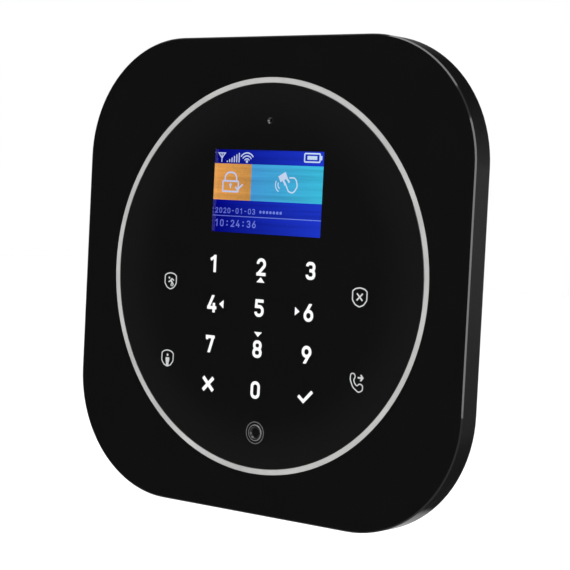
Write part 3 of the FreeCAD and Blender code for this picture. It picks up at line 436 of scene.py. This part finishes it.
def battery_wrap():
    """Shrink film over the cell: glossy blue with fine shrink wrinkles."""
    f = Finish("battery_wrap", IOR=1.5, Coat_Weight=0.5, Coat_Roughness=0.1)
    f.colour(f.noise(45, 4.0), linear(20, 60, 120), linear(34, 84, 152))
    f.rough(f.noise(160), 0.2, 0.34)
    f.bump(f.noise(120, 4.0, 0.6, f.stretched((0.4, 1.0, 2.5))), 1.2e-4, 0.5)
    return f.material


def lead_red():
    """Insulated wire's red sleeve, a little uneven."""
    f = Finish("lead_red", IOR=1.5)
    f.colour(f.noise(400, 3.0), linear(150, 16, 14), linear(190, 30, 26))
    f.rough(f.noise(600), 0.34, 0.48)
    f.bump(f.noise(1500, 2.0), 2e-5, 0.5)
    return f.material


def lit_print(name, low, high, strength):
    """A legend printed clear in the black lens and lit from behind, a little uneven."""
    f = Finish(name, IOR=1.5, Emission_Strength=strength)
    f.join(f.mix(f.noise(320, 3.0), low, high), f.shader.inputs["Emission Color"])
    f.colour(f.noise(700), grey(0.04), grey(0.06))
    f.rough(f.noise(500), 0.12, 0.22)
    return f.material


# The wave texture makes one band every pi / 10 of its scaled coordinate
PIXEL_PITCH = 0.153 * MM
PIXEL_ROWS = math.pi / 10 / PIXEL_PITCH
PIXEL_RIPPLE = 0.04


def screen_light(name, left, right, strength=1.0, streaks=0.2, grain=0.0):
    """Light of the display, from one colour at its left to another at its right, with the faint
    horizontal banding and the pixel pitch of such a cell."""
    f = Finish(name, Specular_IOR_Level=0.0, Emission_Strength=strength)
    across = f.between(f.axis("X"), WINDOW_LOW.x, WINDOW_HIGH.x)
    base = f.mix(across, left, right)
    bands = f.noise(620, 3.0, 0.6, f.stretched((0.03, 0.03, 1.0)))
    pixels = f.stripes(PIXEL_ROWS, "Z")
    ripple = f.maths("ADD", f.between(bands, 0.3, 0.7, -streaks, streaks), 1.0)
    ripple = f.maths("ADD", ripple, f.between(pixels, 0.0, 1.0, -PIXEL_RIPPLE, PIXEL_RIPPLE))
    if grain:
        ripple = f.maths("ADD", ripple, f.between(f.noise(900, 2.0), 0.3, 0.7, -grain, grain))
    scaled = f.node("ShaderNodeVectorMath", operation="SCALE")
    f.join(base, scaled.inputs[0])
    f.join(ripple, scaled.inputs["Scale"])
    f.join(scaled.outputs["Vector"], f.shader.inputs["Emission Color"])
    f.shader.inputs["Base Color"].default_value = grey(0.0)
    f.shader.inputs["Roughness"].default_value = 0.9
    return f.material


FINISH_NODES = {
    "matte_black": "rear_cover carrier_frame tamper_plunger power_switch_knob siren",
    "frosted_guide": "light_guide_ring key_diffuser",
    "clear_window": "display_window",
    "display_glass": "lcd_panel",
    "bracket_steel": "wall_bracket",
    "circuit_board": "ring_led_board touch_board main_board button_board radio_module",
    "lamp": "ring_leds key_leds",
    "black_rubber": "lens_gasket microphone_boot siren_seal",
    "copper": "rfid_antenna radio_coil_antenna gsm_antenna",
    "component_black": "processor microphone button_switch_body button_board_posts"
    " button_switch_plunger tamper_switch power_switch_body usb_tongue sim_socket",
    "ribbon_film": "lcd_ribbon touch_ribbon",
    "connector_white": "lcd_ribbon_connector touch_ribbon_connector battery_plug sim_card",
    "battery_wrap": "battery_pack",
    "lead_red": "battery_leads",
    "frame_gloss": "front_frame",
    "lens_gloss": "touch_lens",
    "button_gloss": "button_bezel button_cap",
    "screw_steel": "case_screws carrier_screws board_screws usb_shell tamper_spring",
    "can_steel": "lcd_backlight gsm_module wifi_module",
}


def paint_nodes():
    can_grain = (30.0, 1.0, 1.0)
    finishes = {
        "matte_black": matte_black(),
        "frosted_guide": frosted_guide(),
        "clear_window": clear_window(),
        "display_glass": display_glass(),
        "bracket_steel": bracket_steel(),
        "circuit_board": circuit_board(),
        "lamp": lamp(),
        "black_rubber": black_rubber(),
        "copper": copper(),
        "component_black": component_black(),
        "ribbon_film": ribbon_film(),
        "connector_white": connector_white(),
        "battery_wrap": battery_wrap(),
        "lead_red": lead_red(),
        "frame_gloss": gloss_black("frame_gloss"),
        "lens_gloss": gloss_black("lens_gloss", painted_ring_glow=True),
        "button_gloss": button_gloss(),
        "screw_steel": steel("screw_steel", linear(150, 150, 152), linear(196, 196, 198)),
        "can_steel": steel(
            "can_steel", linear(170, 172, 174), linear(206, 207, 208), can_grain
        ),
    }
    for finish, names in FINISH_NODES.items():
        for name in names.split():
            mesh = NODES[name].data
            mesh.materials.clear()
            mesh.materials.append(finishes[finish])


# ---------------------------------------------------------------- flat shapes, in millimetres

DISC_SIDES = 20
CORNER_STEPS = 7


def polygon(points):
    return [[Vector(p) for p in points]]


def bar(x0, z0, x1, z1, width):
    """A slanting stroke whose two ends are cut level."""
    half = width / 2 * math.hypot(x1 - x0, z1 - z0) / abs(z1 - z0)
    return polygon([(x0 - half, z0), (x0 + half, z0), (x1 + half, z1), (x1 - half, z1)])


def disc(x, z, radius):
    turns = [2 * math.pi * step / DISC_SIDES for step in range(DISC_SIDES)]
    return polygon([(x + radius * math.cos(t), z + radius * math.sin(t)) for t in turns])


def rounded(points, closed):
    """The points of a line whose corners are rounded. A point is (x, z) or (x, z, radius)."""
    line = []
    count = len(points)
    for index, point in enumerate(points):
        here = Vector(point[:2])
        radius = point[2] if len(point) > 2 else 0.0
        if not radius or (not closed and index in (0, count - 1)):
            line.append(here)
            continue
        back = Vector(points[index - 1][:2]) - here
        ahead = Vector(points[(index + 1) % count][:2]) - here
        half = back.angle(ahead) / 2
        reach = min(radius / math.tan(half), back.length, ahead.length)
        radius = reach * math.tan(half)
        back.normalize()
        ahead.normalize()
        centre = here + (back + ahead).normalized() * (radius / math.sin(half))
        start = here + back * reach - centre
        turn = start.angle_signed(here + ahead * reach - centre)
        for step in range(CORNER_STEPS + 1):
            line.append(centre + Matrix.Rotation(-turn * step / CORNER_STEPS, 2) @ start)
    return [p for i, p in enumerate(line) if i == 0 or (p - line[i - 1]).length > 1e-4]


def stroke(points, width, closed=False):
    """Quads along a line, mitred where they meet and cut square at open ends."""
    line = rounded(points, closed)
    count = len(line)
    sides = []
    for index, here in enumerate(line):
        before = line[index - 1] if index or closed else None
        after = line[(index + 1) % count] if index < count - 1 or closed else None
        first = (here - before).normalized() if before is not None else None
        second = (after - here).normalized() if after is not None else first
        first = first if first is not None else second
        across = (first + second).normalized()
        across = Vector((-across.y, across.x))
        lean = max(0.3, across.dot(Vector((-second.y, second.x))))
        across *= width / 2 / lean
        sides.append((here - across, here + across))
    joins = range(count if closed else count - 1)
    return [
        [sides[i][0], sides[(i + 1) % count][0], sides[(i + 1) % count][1], sides[i][1]]
        for i in joins
    ]


def moved(shape, x=0.0, z=0.0, scale=1.0, turn=0.0):
    spin = Matrix.Rotation(math.radians(turn), 2)
    shift = Vector((x, z))
    return [[spin @ p * scale + shift for p in face] for face in shape]


def outline_mesh(name, shapes, front, depth):
    """One closed shell: the union of flat shapes, given a thickness along Y. front(x, z) is
    the Y of its front, in metres."""
    corners = []
    faces = []
    for face in shapes:
        area = sum(a.x * b.y - b.x * a.y for a, b in zip(face, face[1:] + face[:1]))
        ordered = face if area > 0 else face[::-1]
        faces.append(list(range(len(corners), len(corners) + len(face))))
        corners += ordered
    points, _, triangles, _, _, origins = delaunay_2d_cdt(corners, [], faces, 1, 1e-5)
    kept = [list(t) for t, origin in zip(triangles, origins) if origin]
    edges = {}
    for a, b, c in kept:
        for pair in ((a, b), (b, c), (c, a)):
            edges[pair] = pair
    rim = [pair for pair in edges if (pair[1], pair[0]) not in edges]
    count = len(points)
    fronts = [front(p.x * MM, p.y * MM) for p in points]
    vertices = [(p.x * MM, y, p.y * MM) for p, y in zip(points, fronts)]
    vertices += [(p.x * MM, y + depth, p.y * MM) for p, y in zip(points, fronts)]
    solid = [tuple(t) for t in kept]
    solid += [(c + count, b + count, a + count) for a, b, c in kept]
    solid += [(b, a, a + count, b + count) for a, b in rim]
    mesh = bpy.data.meshes.new(name)
    mesh.from_pydata(vertices, [], solid)
    mesh.validate()
    return mesh


def add_piece(name, mesh, material):
    """A new piece that rides on the panel."""
    piece = bpy.data.objects.new(name, mesh)
    bpy.context.scene.collection.objects.link(piece)
    mesh.materials.append(material)
    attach(piece, "panel")
    return piece


# ---------------------------------------------------------------- digits and symbols

DIGIT_STROKE = 1.14
# Half a digit's height, and where the middles of its strokes run
DIGIT_TOP = 3.1
SIDE, TALL, MIDDLE = 1.5, DIGIT_TOP - DIGIT_STROKE / 2, 0.05


def digit(figure, width=DIGIT_STROKE):
    """A figure of even stroke, centred on the origin."""
    low_bowl = [
        (-SIDE, -TALL, 1.45), (SIDE, -TALL, 1.45), (SIDE, 0.55, 1.45), (-SIDE, 0.55, 1.45)
    ]
    if figure == "0":
        loop = [(-SIDE, -TALL, 1.4), (SIDE, -TALL, 1.4), (SIDE, TALL, 1.4), (-SIDE, TALL, 1.4)]
        return stroke(loop, width, closed=True)
    if figure == "1":
        stem = stroke([(0.55, -DIGIT_TOP), (0.55, DIGIT_TOP)], width)
        return stem + stroke([(0.45, 2.45), (-1.45, 1.35)], width * 0.95)
    if figure == "2":
        top = [(-SIDE, 1.05), (-SIDE, TALL, 1.45), (SIDE, TALL, 1.45), (SIDE, 0.5, 1.0)]
        top += [(-SIDE + 0.25, -TALL + 0.1)]
        return stroke(top, width) + stroke([(-2.0, -TALL), (2.1, -TALL)], width)
    if figure == "3":
        upper = [(-SIDE, 1.5), (-SIDE, TALL, 1.15), (SIDE - 0.1, TALL, 1.15)]
        upper += [(SIDE - 0.1, MIDDLE, 1.1), (-0.5, MIDDLE)]
        lower = [(-0.5, MIDDLE), (SIDE, MIDDLE, 1.2), (SIDE, -TALL, 1.2), (-SIDE, -TALL, 1.2)]
        lower += [(-SIDE, -1.4)]
        return stroke(upper, width) + stroke(lower, width)
    if figure == "4":
        slope = bar(0.55, DIGIT_TOP, -1.5, -1.35, width)
        foot = stroke([(-2.1, -1.4), (2.15, -1.4)], width)
        return slope + foot + stroke([(0.95, -DIGIT_TOP), (0.95, 0.35)], width)
    if figure == "5":
        line = [(1.85, TALL), (-1.25, TALL), (-1.35, 0.55), (SIDE, 0.55, 1.4)]
        line += [(SIDE, -TALL, 1.4), (-SIDE, -TALL, 1.2), (-SIDE, -1.35)]
        return stroke(line, width)
    if figure == "6":
        return stroke(low_bowl, width, closed=True) + bar(-1.25, -0.35, 0.75, DIGIT_TOP, width)
    if figure == "7":
        top = stroke([(-2.05, TALL), (2.05, TALL)], width)
        tick = stroke([(-1.45, TALL), (-1.45, 1.5)], width * 0.9)
        return top + tick + bar(1.35, TALL, -0.45, -DIGIT_TOP, width)
    if figure == "8":
        upper = [(-1.35, MIDDLE, 1.1), (1.35, MIDDLE, 1.1), (1.35, TALL, 1.1), (-1.35, TALL, 1.1)]
        lower = [(-SIDE, -TALL, 1.2), (SIDE, -TALL, 1.2), (SIDE, MIDDLE, 1.2), (-SIDE, MIDDLE, 1.2)]
        return stroke(upper, width, closed=True) + stroke(lower, width, closed=True)
    if figure == "9":
        return moved(digit("6", width), turn=180)
    if figure == "-":
        return stroke([(-1.3, 0), (1.3, 0)], width)
    return disc(0, 1.5, width * 0.75) + disc(0, -1.5, width * 0.75)


def cross(reach, width):
    rising = stroke([(-reach, -reach), (reach, reach)], width)
    return rising + stroke([(-reach, reach), (reach, -reach)], width)


def shield():
    """Outline of a small shield: arched top, straight sides, rounded point."""
    line = [
        (0, 3.15, 3.0), (1.9, 2.75, 1.0), (2.95, 1.95, 0.45), (2.95, -1.05, 1.2), (1.7, -2.65, 1.2),
        (0, -3.35, 1.2), (-1.7, -2.65, 1.2), (-2.95, -1.05, 1.2), (-2.95, 1.95, 0.45),
        (-1.9, 2.75, 1.0),
    ]
    return stroke(line, 0.44, closed=True)


def runner():
    """A figure that runs to the left, out of the shield's lower right."""
    parts = disc(-0.75, 1.15, 0.42)
    parts += stroke([(0.25, 0.62), (0.2, 0.05), (1.0, -0.95)], 0.75)
    parts += stroke([(0.1, 0.6), (0.75, 0.85), (1.75, 0.1)], 0.42)
    parts += stroke([(0.2, 0.1), (-1.1, -0.55)], 0.55)
    parts += stroke([(0.9, -0.9), (0.35, -1.25), (0.25, -2.1)], 0.42)
    return parts + stroke([(0.95, -0.8), (1.55, -1.35), (0.75, -2.2)], 0.42)


def standing():
    """A standing figure seen from the front."""
    trunk = [(-1.02, -0.2), (-0.85, 0.25), (0.85, 0.25), (1.02, -0.2), (0.78, -1.75)]
    trunk += [(0.62, -1.75), (0.75, -3.0), (-0.75, -3.0), (-0.62, -1.75), (-0.78, -1.75)]
    return disc(0, 1.2, 0.48) + polygon(trunk)


def handset():
    """Outline of a telephone handset, mouthpiece at the lower right, with an arrow."""
    line = [
        (-2.75, 3.05, 0.8), (-1.25, 3.25, 0.9), (-0.7, 2.1, 0.8), (-1.35, 0.9, 0.5),
        (-0.9, -0.2, 1.0), (0.15, -1.15, 0.4), (1.1, -0.25, 0.9), (2.6, -0.6, 0.9),
        (2.65, -2.5, 1.1), (0.9, -3.35, 1.2), (-1.6, -1.7, 2.5), (-2.9, 0.9, 2.5),
    ]
    body = stroke(line, 0.42, closed=True)
    head = polygon([(1.35, 3.0), (1.95, 3.0), (2.9, 1.85), (1.95, 0.7), (1.35, 0.7), (1.8, 1.85)])
    return body + head + stroke([(0.35, 1.85), (2.2, 1.85)], 0.6)


KEY_PITCH_ACROSS, KEY_PITCH_DOWN, KEY_TOP = 21.7, 14.45, 3.2
# The printed keys sit a little left of the disc's middle
KEYS_ASIDE = -0.8
SIDE_KEY_ACROSS, SIDE_KEY_UPPER, SIDE_KEY_LOWER = 42.0, -4.3, -32.6
# A legend stands this far proud of the disc, and is this thick
LEGEND_PROUD = 0.03 * MM
LEGEND_DEPTH = 0.06 * MM
PROBE_START = -100 * MM


def lens_surface():
    """A function that gives the Y of the lens's front at (x, z)."""
    mesh = NODES["touch_lens"].data
    tree = BVHTree.FromPolygons([v.co for v in mesh.vertices], [p.vertices for p in mesh.polygons])

    def front(x, z):
        hit = tree.ray_cast(Vector((x, PROBE_START, z)), Vector((0, 1, 0)))[0]
        return (hit.y if hit is not None else LENS_FRONT) - LEGEND_PROUD

    return front


def add_legends():
    front = lens_surface()
    bright = lit_print("legend_bright", linear(236, 238, 240), linear(255, 255, 255), 1.0)
    soft = lit_print("legend_soft", linear(176, 178, 180), linear(212, 213, 214), 0.98)
    tick = stroke([(-3.0, 0.1), (-0.75, -1.65), (2.9, 2.0)], 1.15)
    rows = [["1", "2", "3"], ["4", "5", "6"], ["7", "8", "9"], ["cross", "0", "tick"]]
    shapes = {"cross": cross(2.35, 1.32), "tick": moved(tick, 0.35, -0.05)}
    for row, names in enumerate(rows):
        for column, name in enumerate(names):
            shape = shapes[name] if name in shapes else digit(name)
            x = (column - 1) * KEY_PITCH_ACROSS + KEYS_ASIDE
            placed = moved(shape, x, KEY_TOP - row * KEY_PITCH_DOWN)
            mesh = outline_mesh("legend_" + name, placed, front, LEGEND_DEPTH)
            add_piece("legend_" + name, mesh, bright)
    arrows = {
        "up": [(-1.8, -2.25), (1.8, -2.25), (0, -0.35)],
        "down": [(-1.75, -19.7), (0, -21.4), (1.75, -19.7)],
        "left": [(-16.3, -9.6), (-18.3, -11.1), (-16.3, -12.6)],
        "right": [(15.8, -9.6), (15.8, -12.6), (17.8, -11.1)],
    }
    for name, points in arrows.items():
        placed = moved(polygon(points), KEYS_ASIDE)
        mesh = outline_mesh("legend_" + name, placed, front, LEGEND_DEPTH)
        add_piece("legend_" + name, mesh, bright)
    sides = {
        "away": (moved(shield() + runner(), scale=0.92), -SIDE_KEY_ACROSS - 0.6, SIDE_KEY_UPPER),
        "home": (moved(shield() + standing(), scale=0.92), -SIDE_KEY_ACROSS - 0.4, SIDE_KEY_LOWER),
        "disarm": (shield() + cross(1.2, 0.55), SIDE_KEY_ACROSS, SIDE_KEY_UPPER),
        "call": (moved(handset(), scale=0.96), SIDE_KEY_ACROSS + 0.6, SIDE_KEY_LOWER - 0.6),
    }
    for name, (shape, x, z) in sides.items():
        mesh = outline_mesh("legend_" + name, moved(shape, x, z), front, LEGEND_DEPTH)
        add_piece("legend_" + name, mesh, soft)


# ---------------------------------------------------------------- display

# The picture is thin sheets in the gap between the display cell and its pane
TILE_Y = LCD_FRONT - 0.012 * MM
ICON_Y = LCD_FRONT - 0.026 * MM
SHEET_DEPTH = 0.008 * MM
# In millimetres: the unlit edge of the cell, and the lit area's foot and top
SCREEN_EDGE = 0.9
SCREEN_LOW, SCREEN_HIGH = 13.9, 45.2
TILE_SPLIT, TILE_TOP, TILE_FOOT = -8.0, 39.1, 26.2
# The icons sit left of the middle of their places, and so do the date and time, by less
ICONS_ASIDE = -1.8
FIGURES_ASIDE = -0.9


def add_screen():
    left, right = LCD_LOW.x / MM + SCREEN_EDGE, LCD_HIGH.x / MM - SCREEN_EDGE

    def tile(name, x0, z0, x1, z1, material):
        shape = polygon([(x0, z0), (x1, z0), (x1, z1), (x0, z1)])
        mesh = outline_mesh(name, shape, lambda x, z: TILE_Y, SHEET_DEPTH)
        add_piece(name, mesh, material)

    def icon(name, shape, material, aside=ICONS_ASIDE):
        mesh = outline_mesh(name, moved(shape, aside), lambda x, z: ICON_Y, SHEET_DEPTH)
        add_piece(name, mesh, material)

    blue = screen_light("screen_blue", linear(0, 0, 124), linear(30, 56, 206), 1.0)
    orange = screen_light("screen_orange", linear(232, 160, 82), linear(120, 110, 60), grain=0.06)
    cyan = screen_light("screen_cyan", linear(76, 140, 220), linear(60, 190, 222))
    white = screen_light("screen_white", linear(196, 204, 246), linear(214, 236, 255), 0.98, 0.05)
    faint = screen_light("screen_faint", linear(104, 112, 216), linear(120, 146, 240), 1.05, 0.05)

    tile("screen_status", left, TILE_TOP, right, SCREEN_HIGH, blue)
    tile("screen_lower", left, SCREEN_LOW, right, TILE_FOOT, blue)
    tile("screen_arm", left, TILE_FOOT, TILE_SPLIT, TILE_TOP, orange)
    tile("screen_card", TILE_SPLIT, TILE_FOOT, right, TILE_TOP, cyan)

    aerial = stroke([(-21.5, 42.8), (-20.0, 41.0), (-18.5, 42.8)], 0.4, closed=True)
    icon("screen_aerial", aerial + stroke([(-20.0, 42.6), (-20.0, 39.6)], 0.4), white)
    bars = []
    for step in range(6):
        x = -17.5 + step * 1.08
        bars += stroke([(x, 39.6), (x, 40.1 + step * 0.58)], 0.5)
    icon("screen_bars", bars, white)
    waves = disc(-8.5, 40.0, 0.5)
    for reach in (1.35, 2.4, 3.45):
        turns = [math.radians(36 + 108 * step / 14) for step in range(15)]
        arc = [(-8.5 + reach * math.cos(t), 39.6 + reach * math.sin(t)) for t in turns]
        waves += stroke(arc, 0.46)
    icon("screen_waves", waves, white)
    case = [(15.9, 40.5, 0.3), (22.5, 40.5, 0.3), (22.5, 43.4, 0.3), (15.9, 43.4, 0.3)]
    cell = stroke(case, 0.5, closed=True) + stroke([(23.1, 41.2), (23.1, 42.7)], 0.7)
    icon("screen_battery", cell + stroke([(17.1, 41.95), (21.3, 41.95)], 1.3), white, -0.7)

    lock = [(-19.0, 29.2, 0.4), (-11.9, 29.2, 0.4), (-11.9, 32.9, 0.4), (-19.0, 32.9, 0.4)]
    shackle = [(-18.1, 32.9), (-18.1, 36.0, 2.2), (-12.8, 36.0, 2.2), (-12.8, 32.9)]
    shape = stroke(lock, 0.6, closed=True) + stroke(shackle, 0.6)
    shape += disc(-15.5, 31.6, 0.55) + stroke([(-15.5, 31.6), (-15.5, 30.4)], 0.5)
    shape += stroke([(-13.2, 30.9), (-12.2, 29.9), (-9.9, 31.9)], 0.6)
    icon("screen_lock", shape, white)

    card = polygon([(-1.75, -1.15), (1.75, -1.15), (1.75, 1.15), (-1.75, 1.15)])
    palm = [(-0.5, 2.4), (2.3, 2.5, 1.6), (3.2, -0.6, 2.0), (1.3, -3.0, 1.5), (-0.7, -2.3, 0.8)]
    palm += [(-2.5, 0.9)]
    shape = moved(card, 8.0, 35.0, turn=28) + moved(stroke(palm, 0.5), 11.3, 32.4)
    shape += stroke([(8.0, 34.2), (9.2, 32.2)], 0.8) + stroke([(9.0, 35.3), (10.9, 33.2)], 0.75)
    for reach in (1.5, 2.6):
        turns = [math.radians(150 + 95 * step / 10) for step in range(11)]
        arc = [(7.4 + reach * math.cos(t), 32.3 + reach * math.sin(t)) for t in turns]
        shape += stroke(arc, 0.42)
    icon("screen_touch", shape, white)

    def figures(name, text, x, z, pitch, scale):
        shape = []
        for place, figure in enumerate(text):
            shape += moved(digit(figure, 0.95), x + place * pitch, z, scale)
        icon(name, shape, faint, FIGURES_ASIDE)

    figures("screen_date", "2020-01-03", -22.2, 22.4, 1.88, 0.33)
    figures("screen_time", "10:24:36", -22.0, 17.9, 2.45, 0.42)
    dots = []
    for day in range(7):
        dots += disc(-2.2 + day * 1.5, 22.4, 0.55)
    icon("screen_days", dots, faint, FIGURES_ASIDE)
    icon("screen_line", stroke([(left, 20.5), (right, 20.5)], 0.26), faint, 0.0)


# ---------------------------------------------------------------- tamper spring


def add_spring():
    """The spring over the tamper plunger, as a piece of its own with its own mesh. The real spring
    shortens as the plunger goes in.
    """
    mesh = NODES["tamper_spring"].data.copy()
    material = mesh.materials[0]
    mesh.materials.clear()
    piece = add_piece("tamper_coil", mesh, material)
    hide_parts("tamper_spring")
    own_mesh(piece)


# ---------------------------------------------------------------- stage and lights

FLOOR_DROP = 0.22
FLOOR_REACH = 6.0
# What the panel's face mirrors to the camera is flagged off, out to a soft edge
MIRROR_DIRECTION = (-0.61, -0.79, -0.04)
FLAG_INNER, FLAG_OUTER = math.radians(26), math.radians(55)
FLAG_LEVEL, FRONT_LEVEL = 0.01, 0.5
DOME_LEVEL = 1.3
# The front gives way to the back between these shares of the direction along +Y
BACK_FROM, BACK_FULL = 0.0, 0.45
# Brightness of the back of the studio by the height of the direction, from straight down up
BACK_LEVELS = [
    (-1.0, 0.05), (-0.5, 0.04), (-0.37, 0.06), (-0.22, 0.15), (-0.1, 0.17), (-0.02, 0.29),
    (0.04, 0.29), (0.1, 0.2), (0.32, 0.09), (0.5, 0.01), (1.0, 0.02),
]
# A bright card low down at the back left: how bright, and where it fades in
CARD_LEVEL = 0.5
CARD_RIGHT, CARD_LEFT = -0.18, -0.3
CARD_TOP, CARD_FOOT = -0.2, -0.32


def add_floor():
    """A plain pale floor some way below the panel, which hangs on its wall unseen."""
    z = cad_box[0][2] - FLOOR_DROP
    far = FLOOR_REACH
    mesh = bpy.data.meshes.new("floor")
    corners = [(-far, -far, z), (far, -far, z), (far, far, z), (-far, far, z)]
    mesh.from_pydata(corners, [], [(0, 1, 2, 3)])
    floor = bpy.data.objects.new("floor", mesh)
    bpy.context.scene.collection.objects.link(floor)
    f = Finish("floor", IOR=1.4)
    f.colour(f.noise(6, 4.0), grey(0.86), grey(0.9))
    f.rough(f.noise(30), 0.6, 0.75)
    mesh.materials.append(f.material)
    floor.visible_glossy = False


def add_world():
    """A white studio. Gloss sees it flagged off at the front left, so the face stays black, with
    a dim wall behind and a bright card low down at the back left."""
    world = bpy.data.worlds.new("studio")
    bpy.context.scene.world = world
    world.use_nodes = True
    tree = world.node_tree

    def made(kind, **settings):
        node = tree.nodes.new(kind)
        for key, setting in settings.items():
            setattr(node, key, setting)
        return node

    def spread(value, low, high, to_low, to_high, curve="SMOOTHSTEP"):
        node = made("ShaderNodeMapRange", interpolation_type=curve)
        for socket, number in zip(RANGE_SOCKETS, (low, high, to_low, to_high)):
            if isinstance(number, (int, float)):
                node.inputs[socket].default_value = number
            else:
                tree.links.new(number, node.inputs[socket])
        tree.links.new(value, node.inputs["Value"])
        return node.outputs["Result"]

    background = tree.nodes["Background"]
    background.inputs["Color"].default_value = grey(1.0)
    place = made("ShaderNodeTexCoord").outputs["Generated"]
    parts = made("ShaderNodeSeparateXYZ")
    tree.links.new(place, parts.inputs["Vector"])
    facing = made("ShaderNodeVectorMath", operation="DOT_PRODUCT")
    facing.inputs[1].default_value = Vector(MIRROR_DIRECTION).normalized()
    tree.links.new(place, facing.inputs[0])
    outer, inner = math.cos(FLAG_OUTER), math.cos(FLAG_INNER)
    front = spread(facing.outputs["Value"], outer, inner, FRONT_LEVEL, FLAG_LEVEL)
    height = made("ShaderNodeValToRGB")
    ramp = height.color_ramp
    ramp.elements.remove(ramp.elements[1])
    for step, (level, brightness) in enumerate(BACK_LEVELS):
        stop = ramp.elements[0] if step == 0 else ramp.elements.new((level + 1) / 2)
        stop.position = (level + 1) / 2
        stop.color = grey(brightness)
    rise = spread(parts.outputs["Z"], -1.0, 1.0, 0.0, 1.0, "LINEAR")
    tree.links.new(rise, height.inputs["Fac"])
    card = spread(parts.outputs["X"], CARD_RIGHT, CARD_LEFT, 0.0, CARD_LEVEL)
    card = spread(parts.outputs["Z"], CARD_TOP, CARD_FOOT, 0.0, card)
    back = made("ShaderNodeMath", operation="ADD")
    tree.links.new(height.outputs["Color"], back.inputs[0])
    tree.links.new(card, back.inputs[1])
    shaped = spread(parts.outputs["Y"], BACK_FROM, BACK_FULL, front, back.outputs["Value"])
    rays = made("ShaderNodeLightPath").outputs
    glossy = spread(rays["Is Glossy Ray"], 0.0, 1.0, DOME_LEVEL, shaped)
    seen = spread(rays["Is Camera Ray"], 0.0, 1.0, glossy, 1.0)
    tree.links.new(seen, background.inputs["Strength"])


def add_softbox(name, place, aim, width, height, watts):
    data = bpy.data.lights.new(name, "AREA")
    data.shape = "RECTANGLE"
    data.size = width
    data.size_y = height
    data.energy = watts
    light = bpy.data.objects.new(name, data)
    bpy.context.scene.collection.objects.link(light)
    light.location = place
    light.rotation_euler = (Vector(aim) - Vector(place)).to_track_quat("-Z", "Y").to_euler()
    light.visible_camera = False


def add_lights():
    """A tall softbox at the right that runs along the bevel, and a large one overhead."""
    add_softbox("edge_light", (1.1, -0.66, 0.31), (0.08, -0.02, 0.31), 0.5, 1.0, 6.4)
    add_softbox("top_light", (0.2, -0.2, 1.6), (0.0, 0.0, 0.0), 1.6, 1.6, 30.0)


add_camera()
add_floor()
add_world()
add_lights()
paint_nodes()
add_legends()
add_screen()
add_spring()
bpy.context.scene.view_settings.view_transform = "Standard"
